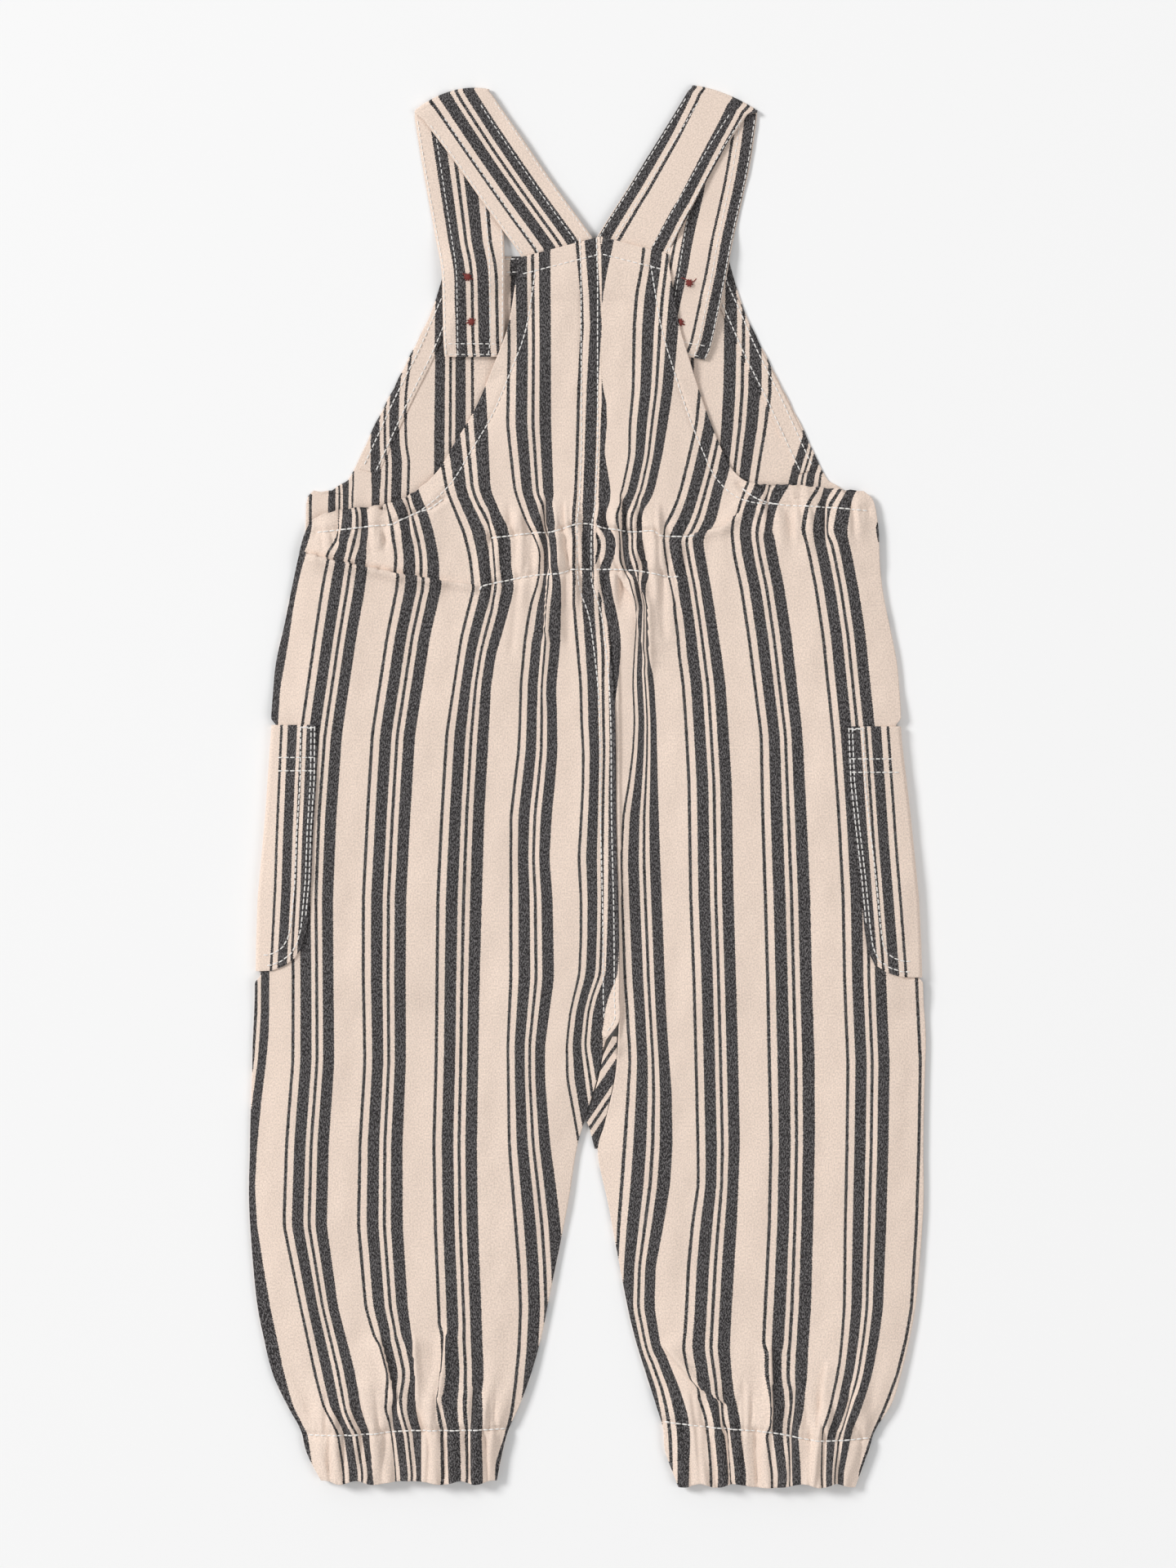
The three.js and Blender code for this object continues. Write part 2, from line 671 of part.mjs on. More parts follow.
// The facing follows the front bib's edge on its inside, from the casing up and to the centre.
const FACING_PATH = table(
  ["outX", "outY", "inX", "inY", "steps"],
  [
    [107.6, 148.5, 99, 146, 3],
    [101, 164.5, 92.5, 160, 3],
    [81, 205, 72.8, 201, 3],
    [72.6, 223.5, 64.2, 220.5, 3],
    [66.4, 236.5, 58.6, 233, 1],
    [65, 247, 57, BIB_TOP - FACING_DEPTH, 10],
    [FRONT_CENTRE, 247, FRONT_CENTRE, BIB_TOP - FACING_DEPTH, 0],
  ],
);

function facing(side) {
  const out = side === "left" ? -1 : 1;
  const rows = refine(FACING_PATH, OUTLINE).map((row) => ({ ...row, cells: 2 }));
  rows.forEach((row) => {
    const toCentre = (x) => (x === FRONT_CENTRE ? FRONT_CENTRE + out * SEAM : out * x);
    [row.inX, row.outX] = [toCentre(row.inX), toCentre(row.outX)];
  });
  return panel(rows.reverse(), side, facingUnder, facingTop);
}

// A strap: the lower run, half a turn round the fold's line, and the upper run
function strap(side) {
  const { lower, fold: turn, upper } = STRAPS[side];
  const columns = ["leftX", "leftY", "rightX", "rightY", "bow"];
  const line = (row, height) => {
    const points = [];
    for (let k = 0; k <= STRAP_CELLS; k += 1) {
      const t = k / STRAP_CELLS;
      const x = mix(row.leftX, row.rightX, t);
      const y = mix(row.leftY, row.rightY, t) + row.bow * 4 * t * (1 - t);
      points.push(new THREE.Vector3(x, y, height(x, y)));
    }
    return points;
  };
  const half = STRAP / 2;
  const grid = refine(lower, columns).map((row) => line(row, (x, y) => lowerRunUnder(x, y, side) + half));
  const radius = (STRAP + FOLD_ROOM) / 2;
  [-0.5, 0, 0.5].forEach((part) => {
    const angle = part * Math.PI * 0.5;
    const moved = { ...turn };
    moved.leftY += radius * (Math.cos(angle) - 1);
    moved.rightY += radius * (Math.cos(angle) - 1);
    grid.push(line(moved, () => half + radius * (1 + Math.sin(angle))));
  });
  refine(upper, columns).forEach((row) => {
    grid.push(line(row, (x, y) => upperRunUnder(x, y, side) + half));
  });
  return band(grid, STRAP);
}

// A pocket: over the back, round the side edge, and under the front
function pocket(side) {
  const out = side === "left" ? -1 : 1;
  const rows = POCKETS[side].map((row) => {
    const edge = ends(side, row.y).outX - out * POCKET_INSET;
    const line = [];
    const over = backTop(edge, row.y, side) + POCKET_CLEAR + POCKET / 2;
    const low = POCKET / 2;
    for (let k = 0; k <= 5; k += 1) {
      const x = mix(row.backX, edge, k / 5);
      line.push(new THREE.Vector3(x, row.y, backTop(x, row.y, side) + POCKET_CLEAR + POCKET / 2));
    }
    const radius = (over - low) / 2;
    const reach = POCKET_INSET - POCKET / 2 - 0.1;
    [60, 30, 0, -30, -60].forEach((degrees) => {
      const angle = THREE.MathUtils.degToRad(degrees);
      const x = edge + out * (0.1 + reach * Math.cos(angle));
      line.push(new THREE.Vector3(x, row.y, low + radius * (1 + Math.sin(angle))));
    });
    for (let k = 0; k <= 3; k += 1) {
      line.push(new THREE.Vector3(mix(edge, row.frontX, k / 3), row.y, low));
    }
    return line;
  });
  return band(side === "left" ? rows.map((line) => line.reverse()) : rows, POCKET);
}

// The gusset: an upper flap, a lower flap, and the turn between them below the crotch's point
function gusset() {
  const flap = (under, top) => toManifold(panel(
    GUSSET.map((row) => ({ inX: row.leftX, inY: row.y, outX: row.rightX, outY: row.y, cells: 2 })),
    "right", under, top,
  ));
  const upper = flap(backUnder, backTop);
  const lower = flap(frontUnder, frontTop);
  const edge = GUSSET.filter((row) => row.y <= CROTCH_Y);
  const turn = toManifold(panel(
    edge.map((row, i) => {
      const width = Math.min(CLOTH, row.rightX - row.leftX);
      return { inX: row.leftX, inY: row.y, outX: row.leftX + width, outY: row.y, cells: 1 };
    }),
    "right", (x, y) => frontUnder(x, y, "right") + 0.2, (x, y) => backTop(x, y, "right") - 0.2,
  ));
  return fromManifold(upper.add(lower).add(turn));
}

// A button lies face down: a dished disc with a raised rim, and the thread's shank above it
function button(at) {
  const { radius, height, shank } = BUTTON;
  const profile = [
    [0, 0.35], [radius * 0.62, 0.35], [radius * 0.74, 0], [radius * 0.94, 0], [radius, 0.35],
    [radius, height - 0.4], [radius * 0.92, height], [shank, height], [shank, HUMP + CLOTH - 0.1],
    [0, HUMP + CLOTH - 0.1],
  ];
  const geometry = new THREE.LatheGeometry(profile.map(([r, z]) => new THREE.Vector2(r, z)), 12);
  geometry.rotateX(Math.PI / 2);
  return geometry;
}

// Materials
const cloth = (color) => new THREE.MeshStandardMaterial({ color, roughness: 0.95, metalness: 0 });
const CREAM = 0xe2d0bf;
const INSIDE = 0xdccab8;
const HORN = 0x6b4a38;

const overalls = new THREE.Group();

function place(name, geometry, material, x = 0, y = 0) {
  const mesh = new THREE.Mesh(geometry, material);
  mesh.name = name;
  mesh.position.set(x, y, 0);
  overalls.add(mesh);
}

["left", "right"].forEach((side) => {
  place(`back_${side}`, backPanel(side), cloth(CREAM));
  place(`front_${side}`, frontPanel(side), cloth(INSIDE));
  place(`front_facing_${side}`, facing(side), cloth(INSIDE));
  place(`strap_${side}`, strap(side), cloth(CREAM));
  place(`pocket_${side}`, pocket(side), cloth(CREAM));
});
place("crotch_gusset", gusset(), cloth(CREAM));
BUTTON_PLACES.forEach((at) => {
  const horn = new THREE.MeshStandardMaterial({ color: HORN, roughness: 0.4, metalness: 0 });
  place(at.name, button(at), horn, at.x, at.y);
});

export default overalls;
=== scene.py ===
# %% [markdown]
# Kids bib overalls, laid flat on their front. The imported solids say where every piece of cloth
# lies and how high. This script dresses them: each piece is made again as a thin cloth surface
# on the same sections, with finer folds, a striped weave that follows the cloth through the
# gathers, sewing, and thread knots.

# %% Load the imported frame
import bpy
import numpy as np
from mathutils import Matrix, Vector


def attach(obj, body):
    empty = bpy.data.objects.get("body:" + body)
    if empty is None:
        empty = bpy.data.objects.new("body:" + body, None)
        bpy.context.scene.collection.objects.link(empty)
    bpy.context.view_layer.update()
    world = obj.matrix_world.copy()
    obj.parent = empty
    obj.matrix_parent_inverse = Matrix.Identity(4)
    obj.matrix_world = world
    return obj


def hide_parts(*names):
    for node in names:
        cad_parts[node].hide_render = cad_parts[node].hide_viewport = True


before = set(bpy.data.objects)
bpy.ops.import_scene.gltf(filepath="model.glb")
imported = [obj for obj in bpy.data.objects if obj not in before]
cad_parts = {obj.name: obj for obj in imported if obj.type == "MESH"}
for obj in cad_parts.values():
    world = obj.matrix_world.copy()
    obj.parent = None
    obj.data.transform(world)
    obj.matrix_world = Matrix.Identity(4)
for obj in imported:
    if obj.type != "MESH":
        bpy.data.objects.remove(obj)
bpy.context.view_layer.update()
MM = 0.001

# %% [markdown]
# The cloth is a yarn-dyed cotton: thin and wide charcoal stripes on cream, in a repeat of about
# 35 mm. Every panel is cut along the stripes, so one short table of stripes serves them all.

# %% Driving sizes, in mm
REPEAT = 34.8
STRIPES = {"thin_a": (0.0, 1.5), "wide_b": (4.4, 9.8), "thin_c": (11.7, 13.2), "wide_d": (15.4, 20.8)}
CLOTH, FACING, STRAP, POCKET = 1.1, 0.8, 1.2, 1.0
GAP, FACING_GAP, STRAP_GAP, POCKET_CLEAR = 0.35, 0.5, 0.55, 0.5
LOFT_BODY, LOFT_REACH = 2.3, 26
CUFF_GATHERS, CUFF_TOP, CUFF_STITCH = 9, -260, -304
CROTCH_Y = -157
POCKET_INSET = 2.7
POCKET_LIFT = POCKET + GAP
print("repeat", REPEAT, "mm; stripes", ", ".join(f"{n} {b - a:.1f}" for n, (a, b) in STRIPES.items()))


def table(names, rows):
    """A dictionary of columns, one array for each name."""
    return dict(zip(names.split(), np.array(rows, float).T))


# %% [markdown]
# Each half of the garment is cut in one piece from the bib to the cuff. A section is a straight
# line across it, from the centre seam or inseam to the armhole or side, and a panel is the
# surface through all its sections. These are the same sections as the solids'.

# %% Sections of the panels
# each row is in_x, in_y, out_x, out_y
BACK_BIB = {
    "left": [
        (6, 257, -33, 247), (6.5, 236, -34.5, 234), (6.5, 215, -38, 214.5), (6.5, 196, -44.5, 197),
        (6.5, 176.5, -53, 177), (6.5, 159.5, -62.5, 161), (6, 146, -71.5, 146.5),
        (5.5, 137, -84, 135.5), (5, 129, -98, 130.6), (4, 123, -115, 128.6), (3.8, 120, -128, 125),
    ],
    "right": [
        (6, 257, 37.5, 249), (6.5, 236, 39.5, 236), (6.5, 215, 43, 216), (6.5, 196, 48, 199),
        (6.5, 176.5, 54.5, 179), (6.5, 159.5, 61.5, 161), (6, 146, 68, 148),
        (5.5, 137, 78, 141), (5, 129, 97, 140), (4, 123, 119, 138), (3.8, 120, 132.5, 135.5),
    ],
}
BODY = {
    "left": [
        (3.6, 116, -133.4, 118), (3.5, 105, -137, 104), (4, 94, -140, 90), (8.2, 80, -143, 75),
        (11, 58, -147, 57), (12.3, 40, -148.6, 40), (12.9, 20, -150, 20), (13.1, -16, -152.5, -16),
        (14, -54, -156, -54), (14.3, -76, -156.7, -76), (14.4, -100, -157, -100),
        (14.2, -112, -157.5, -112), (8, -122, -158, -123), (5, -136, -158.3, -136),
        (-1.2, -157, -159, -157), (-5.5, -172, -159.3, -172), (-10, -200, -159.6, -200),
        (-18, -240, -156.5, -240), (-22, -260, -153, -260), (-27, -278, -148.5, -278),
        (-32.5, -293, -141.5, -293), (-37.5, -304, -135.5, -304), (-40.5, -315, -132.5, -315),
        (-43, -328.5, -126, -328.5),
    ],
    "right": [
        (3.6, 116, 136.5, 123), (3.5, 105, 137.5, 104), (4, 94, 139, 90), (8.2, 80, 142, 75),
        (11, 58, 145.5, 57), (12.3, 40, 147, 40), (12.9, 20, 148.2, 20), (13.1, -16, 152.5, -16),
        (14, -54, 156.3, -54), (14.3, -76, 157.4, -76), (14.4, -100, 158, -100),
        (14.2, -112, 158.8, -112), (14.2, -122, 159.2, -122), (12.7, -139, 158.7, -139),
        (8.3, -159, 158.2, -159), (4.8, -174, 158, -174), (10, -200, 158, -200),
        (17.5, -240, 155, -240), (22, -260, 151.8, -260), (27.5, -278, 147.5, -278),
        (32, -292, 143, -292), (35.5, -304, 135.5, -304), (36.6, -315, 131.8, -315),
        (42.5, -330, 126, -330),
    ],
}
FRONT_CENTRE = 3
FRONT_BIB = [
    (FRONT_CENTRE, 248, 66, 248), (FRONT_CENTRE, 222, 74, 222), (FRONT_CENTRE, 197, 86, 197),
    (FRONT_CENTRE, 184, 92.3, 184.5), (FRONT_CENTRE, 165, 102.2, 165), (3.6, 146, 111, 146),
    (3.8, 132, 117.5, 139.6), (3.8, 124, 124, 137), (3.8, 120, 132, 135.5),
]
POCKETS = {
    "left": table("y back_x front_x", [
        (27.3, -127.7, -82), (2, -127.9, -82), (-21, -129.4, -82), (-45, -130.3, -82),
        (-68, -132.4, -83), (-76, -134.4, -85), (-82, -138, -90), (-86, -143.5, -99), (-88, -149, -110),
    ]),
    "right": table("y back_x front_x", [
        (26.6, 121.8, 76), (1, 122.8, 76), (-21, 125.2, 76), (-45, 128, 76), (-68, 130.2, 77),
        (-78, 131.6, 80), (-85, 135, 86), (-89, 141, 95), (-91, 147.5, 106),
    ]),
}
BUTTONS = table("x y", [(-56.6, 237.5), (-55.2, 217), (48, 235.5), (44, 217)])
BUTTON = {"radius": 6.5, "height": 1.6, "fall": 14}
HUMP = BUTTON["height"] + GAP
BIB_TOP, FACING_DEPTH = 248, 8.5
print("sections of the back's left half:", len(BACK_BIB["left"] + BODY["left"]))

# %% [markdown]
# Heights are sums of simple bumps. An eased step goes from 0 to 1 without a corner, and a window
# is two of them back to back. They work on whole arrays.

# %% Eased steps, windows and smooth curves


def ease(t):
    """3t^2 - 2t^3, with t held between 0 and 1."""
    t = np.clip(t, 0, 1)
    return t * t * (3 - 2 * t)


def window(value, low, high, fall):
    """1 between low and high, easing to 0 over fall outside them."""
    return ease((value - low + fall) / fall) * ease((high + fall - value) / fall)


def curve(rows, t):
    """Catmull-Rom curve through the rows: row i at t = i, with the slope of its neighbours' chord."""
    rows = np.asarray(rows, float)
    last = len(rows) - 1
    i = np.clip(np.floor(t).astype(int), 0, last - 1)
    f = (t - i)[:, None]
    before, here, there, after = (rows[np.clip(i + k, 0, last)] for k in (-1, 0, 1, 2))
    leave, arrive = (there - before) / 2, (after - here) / 2
    return (
        (2 * f**3 - 3 * f**2 + 1) * here + (f**3 - 2 * f**2 + f) * leave
        + (3 * f**2 - 2 * f**3) * there + (f**3 - f**2) * arrive
    )


def even(rows, count):
    """count smooth sections, evenly far apart along the mean of the table's two ends."""
    t = np.linspace(0, len(rows) - 1, 40 * len(rows))
    fine = curve(rows, t)
    step = np.hypot(np.diff(fine[:, 0::2].mean(1)), np.diff(fine[:, 1::2].mean(1)))
    ends = np.hypot(np.diff(fine[:, 0::2], axis=0), np.diff(fine[:, 1::2], axis=0)).mean(1)
    length = np.concatenate([[0], np.cumsum(0.3 * step + 0.7 * ends)])
    return curve(rows, np.interp(np.linspace(0, length[-1], count), length, t))


def distance(line, x, y):
    """The least distance from each point to a line of points, over its segments."""
    least = np.full(np.shape(x), np.inf)
    for (ax, ay), (bx, by) in zip(line[:-1], line[1:]):
        dx, dy = bx - ax, by - ay
        t = np.clip(((x - ax) * dx + (y - ay) * dy) / (dx * dx + dy * dy), 0, 1)
        least = np.minimum(least, np.hypot(x - ax - t * dx, y - ay - t * dy))
    return least


# %% [markdown]
# Cloth is never quite smooth. A sum of waves in seeded random directions gives the slow, uneven
# swell of a garment that was smoothed out by hand.

# %% Slow swell


def swell(x, y, size, seed, waves=9):
    """Mean of sines with wavelengths near size and seeded random directions and phases."""
    rng = np.random.default_rng(seed)
    total = np.zeros(np.shape(x))
    for _ in range(waves):
        angle, phase = rng.uniform(0, 2 * np.pi, 2)
        k = 2 * np.pi / (size * rng.uniform(0.7, 1.5))
        total += np.sin(k * (x * np.cos(angle) + y * np.sin(angle)) + phase)
    return total / np.sqrt(waves)


# %% [markdown]
# The layers are stacked from the floor up, as in the solids: pocket flap or button, front,
# facing, strap, back, pocket. Each one's height is worked out from the one under it.

# %% Edges and what lifts the cloth


def pocket_inset(y):
    """How far the side edge stands back where the pocket wraps round it."""
    return POCKET_INSET * window(y, -90, 27, 4)


def body_ends(side, y):
    """The inseam's and the side's x at height y, from the sections."""
    rows = np.array(BODY[side])[::-1]
    return np.interp(y, rows[:, 1], rows[:, 0]), np.interp(y, rows[:, 3], rows[:, 2])


def free_edges(side):
    """The half's outer edge from the bib's top to the cuff, and its inseam under the crotch."""
    bib, body = np.array(BACK_BIB[side]), np.array(BODY[side])
    outer = np.vstack([bib[:1, :2], bib[:, 2:], body[:, 2:]])
    outer[:, 0] -= np.sign(outer[:, 0]) * pocket_inset(outer[:, 1]) * (np.arange(len(outer)) > len(bib))
    return outer, body[body[:, 1] <= CROTCH_Y - (2 if side == "right" else 0), :2]


EDGES = {side: free_edges(side) for side in ("left", "right")}
print("points on the free edges:", {side: [len(line) for line in lines] for side, lines in EDGES.items()})


def edge_distance(side, x, y):
    """How far each point is from the half's nearer free edge."""
    return np.minimum(*(distance(line, x, y) for line in EDGES[side]))


def pocket_lift(x, y):
    """The pocket's front flap under the front: eased in before the flap's inner edge."""
    total = np.zeros(np.shape(x))
    for sign, side in ((-1, "left"), (1, "right")):
        flap = POCKETS[side]
        inner = abs(flap["front_x"][0]) - 34
        total += ease((sign * x - inner) / 24) * window(y, flap["y"][-1] - 5, flap["y"][0] + 5, 16)
    return POCKET_LIFT * total


def button_lift(x, y):
    """A flat hump over each button, easing down around it."""
    away = np.min([np.hypot(x - bx, y - by) for bx, by in zip(BUTTONS["x"], BUTTONS["y"])], axis=0)
    return HUMP * (1 - ease((away - BUTTON["radius"] - 1.5) / BUTTON["fall"]))


def casing_lift(x, y):
    """The elastic inside the side casings."""
    return 0.85 * window(y, 106, 145, 10) * ease((np.abs(x) - 66) / 10)


# %% [markdown]
# The big soft forms come from short tables, one row for each puff or fold. A puff is the round
# ridge between two pinches of an elastic, and a fold is a ridge along a line.

# %% Puffs and folds that the solids have too
PUFF = "x half top bottom height"
WAIST_ROWS = (119, 100)
WAIST_PUFFS = table(PUFF, [
    (-42, 4.5, 127, 88, 1.0), (-32.5, 4.5, 128, 86, 1.3), (-23.5, 4, 129, 84, 1.6),
    (-14.5, 4.2, 130, 70, 1.9), (-6, 4, 130, 84, 1.4), (3.5, 4.2, 130, 84, 1.5),
    (12.5, 4.2, 130, 86, 1.5), (22, 4.2, 130, 80, 1.8), (32, 4.5, 128, 86, 1.4), (42, 4.5, 127, 90, 1.0),
])
CASING_PUFFS = table(PUFF, [
    (-122, 5, 136, 108, 0.8), (-111, 5, 134, 106, 0.9), (-100, 5, 135, 108, 0.9),
    (-89, 5, 138, 110, 0.7), (79, 5, 142, 112, 0.7), (91, 5, 144, 110, 0.9),
    (104, 5, 143, 110, 0.9), (118, 5, 142, 110, 0.8),
])
FOLDS = table("x1 y1 x2 y2 x3 y3 height left right", [
    (-137, 109, -89.7, 98, -49, 92, 1.7, 13, 3.5), (46, 116, 63, 121, 74, 134, 1.2, 4, 6),
    (-20, 92, -21, 64, -22, 36, 1.5, 5, 5), (22.5, 100, 27, 80, 28, 36, 1.4, 5, 5),
    (13, 60, 15.5, -40, 15, -112, 1.1, 7, 4), (-98, -265, -94, -276, -90, -288, 1.3, 5, 5),
    (-83, -258, -82, -270, -80, -284, 1.2, 4, 5), (-67, -258, -69, -275, -73.5, -293, 1.4, 5, 5),
    (36, -266, 50, -282, 66, -292, 1.7, 6, 5), (87, -262, 86.5, -282, 86, -302, 1.5, 5, 5),
])
PUFF_FADE = 14
print(len(WAIST_PUFFS["x"]), "waist puffs and", len(CASING_PUFFS["x"]), "casing puffs")


def puffs(rows, x, y):
    """The highest of the rows' ridges: cos^2 across, eased at the two ends."""
    high = np.zeros(np.shape(x))
    for cx, half, top, bottom, height in zip(*rows.values()):
        across = np.clip(np.abs(x - cx) / half, 0, 1)
        along = window(y, bottom + PUFF_FADE / 2, top - PUFF_FADE / 2, PUFF_FADE)
        high = np.maximum(high, height * np.cos(across * np.pi / 2) ** 2 * along)
    return high


def folds(rows, x, y):
    """The highest of the rows' ridges along their two-part lines, each side with its own width."""
    high = np.zeros(np.shape(x))
    for x1, y1, x2, y2, x3, y3, height, left, right in zip(*rows.values()):
        for part, (ax, ay, bx, by) in enumerate(((x1, y1, x2, y2), (x2, y2, x3, y3))):
            dx, dy = bx - ax, by - ay
            long = np.hypot(dx, dy)
            t = ((x - ax) * dx + (y - ay) * dy) / long**2
            off = (dx * (y - ay) - dy * (x - ax)) / long
            past = np.maximum(0, np.maximum(-t, t - 1)) * long
            taper = np.sin(np.pi * (0.12 + 0.76 * (part + np.clip(t, 0, 1)) / 2))
            away = np.clip(np.hypot(off / np.where(off > 0, left, right), past / 8), 0, 1)
            high = np.maximum(high, height * taper * np.cos(away * np.pi / 2) ** 2)
    return high


def cuff_ridge(side, x, y, height, shift):
    """Even waves across the leg, highest at the cuff and gone at the calf."""
    inner, outer = body_ends(side, y)
    s = (x - inner) / (outer - inner)
    wave = 0.5 - 0.5 * np.cos(2 * np.pi * (CUFF_GATHERS * s + shift * np.sin(2 * np.pi * s)))
    fade = ease((CUFF_TOP - y) / (CUFF_TOP - CUFF_STITCH))
    return height * wave * fade * ease(9 * s) * ease(9 * (1 - s))


# %% [markdown]
# An elastic crowds the cloth into small folds with sharp valleys. Each row below is one elastic's
# strip: where it runs, how far its folds fan out below and above, how wide a fold is and how high.
# The same strips make the free edges wavy where an elastic runs close to them.

# %% Gathers of the elastics
ELASTICS = table("x1 x2 low high below above pitch height", [
    (-56, 58, 100, 119, 26, 19, 6.8, 2.3), (-131, -76, 118, 140, 18, 3, 6.2, 1.7),
    (74, 136, 128, 144, 22, 3, 6.6, 1.7), (-136, -34, -332, -304, 3, 32, 8.2, 2.6),
    (34, 137, -332, -304, 3, 32, 8.0, 2.6),
])


def gathers(x, y):
    """Folds |sin| across each elastic, uneven in width and height, that slip sideways at its rows."""
    bend = 1.7 * np.sin(x / 6.1 + 0.7) + 1.3 * np.sin(x / 13.7) + 0.8 * np.sin(y / 9 + x / 17)
    uneven = 0.62 + 0.38 * np.sin(x / 5.3 + 2) * np.sin(x / 11.9 + y / 31)
    high = np.zeros(np.shape(x))
    for x1, x2, low, top, below, above, pitch, height in zip(*ELASTICS.values()):
        slip = 1.5 * np.tanh((y - top) / 2.5) + 1.1 * np.tanh((y - low) / 2.5)
        wave = np.abs(np.sin(np.pi * (x + bend + slip) / pitch)) ** 0.7
        rows = np.exp(-(((y - top) / 4.5) ** 2)) + np.exp(-(((y - low) / 4.5) ** 2))
        wave = wave - 0.3 * rows * np.abs(np.cos(2.3 * np.pi * (x + 0.6 * bend) / pitch)) ** 4
        across = ease((x - x1) / 9) * ease((x2 - x) / 9)
        fade = ease((y - low + below) / below) ** 1.5 * ease((top + above - y) / above) ** 1.5
        high = np.maximum(high, height * uneven * wave * across * fade)
    return high


def scallop(x, y):
    """How far a free edge near an elastic moves along y, in small uneven waves."""
    casing = 0.8 * np.abs(np.sin(x / 2.1 + np.sin(x / 7)))
    casing = casing * ease((y - 119) / 9) * window(np.abs(x), 80, 131, 6)
    cuff = 0.9 * np.sin(x / 3.6 + 1.4 * np.sin(x / 9)) * ease((-316 - y) / 12)
    return casing + cuff


# %% [markdown]
# Each layer's height is a sum: what lies under it, a small gap, and its own cloth.

# %% Heights of the layers


def front_under(x, y, side):
    """The front's underside: on the floor, the pocket's flap or a button, with its gathers."""
    cuffs = cuff_ridge(side, x, y, 1.1, 0.35)
    return pocket_lift(x, y) + button_lift(x, y) + 0.8 * puffs(CASING_PUFFS, x, y) + cuffs


def front_top(x, y, side):
    """The front's upper side, one cloth above."""
    return front_under(x, y, side) + CLOTH


def facing_top(x, y, side):
    return front_top(x, y, side) + FACING_GAP + FACING


def lower_run(x, y, side):
    """The strap's lower run: on the floor, then on the facing, then on the front."""
    on_front = front_top(x, y, side) + STRAP_GAP
    on_facing = on_front + FACING + FACING_GAP
    top = ease((y - (BIB_TOP - FACING_DEPTH - 10)) / 8)
    facing_x = 57 + 15.8 * np.clip((240 - y) / 39, 0, 1)
    inside = on_front + (on_facing - on_front) * np.maximum(top, ease((np.abs(x) - facing_x + 10) / 8))
    past = on_facing * (1 - ease((y - BIB_TOP - 1) / 16))
    return np.where(y > BIB_TOP + 0.5, past, inside)


UPPER_AT_FOLD = STRAP + 0.6
UPPER_AT_BIB = CLOTH + FACING_GAP + FACING + GAP + 0.1


def upper_run(x, y, side):
    """The strap's upper run: from the fold, over the lower run, to the back bib's top edge."""
    hump = np.where(y > BIB_TOP + 2, 0, button_lift(x, y))
    return UPPER_AT_FOLD + (UPPER_AT_BIB - UPPER_AT_FOLD) * ease((292 - y) / 36) + hump


def back_base(x, y, side):
    """The back's underside without its folds: what lies under it, and soft air."""
    loft = LOFT_BODY * (1 - (1 - np.clip(edge_distance(side, x, y) / LOFT_REACH, 0, 1)) ** 2)
    strap_ends = (STRAP + FACING + FACING_GAP + GAP + 0.3) * ease((y - 212) / 24) * window(x, -40, 50, 12)
    beside = np.maximum(window(x, 32, 80, 14), window(x, -80, -40, 12))
    lower_runs = (STRAP + STRAP_GAP + 0.1) * beside * ease((y - 186) / 13)
    lift = np.maximum(np.maximum(strap_ends, lower_runs), loft * ease((250 - y) / 30))
    cuff_base = ease((CUFF_TOP - y) / 40)
    return CLOTH + GAP + pocket_lift(x, y) + casing_lift(x, y) + button_lift(x, y) + lift + cuff_base


# %% [markdown]
# Where an elastic or a fold hides some cloth, the stripes jump: part of the repeat runs into the
# pleat and out again. One row of this table is one such pleat: its line, how much cloth it
# hides, how sharp it is, how far the cloth beside it is let out, how high it stands, and on which
# side its lip lies. Every piece's stripes and heights are worked out from the same rows.

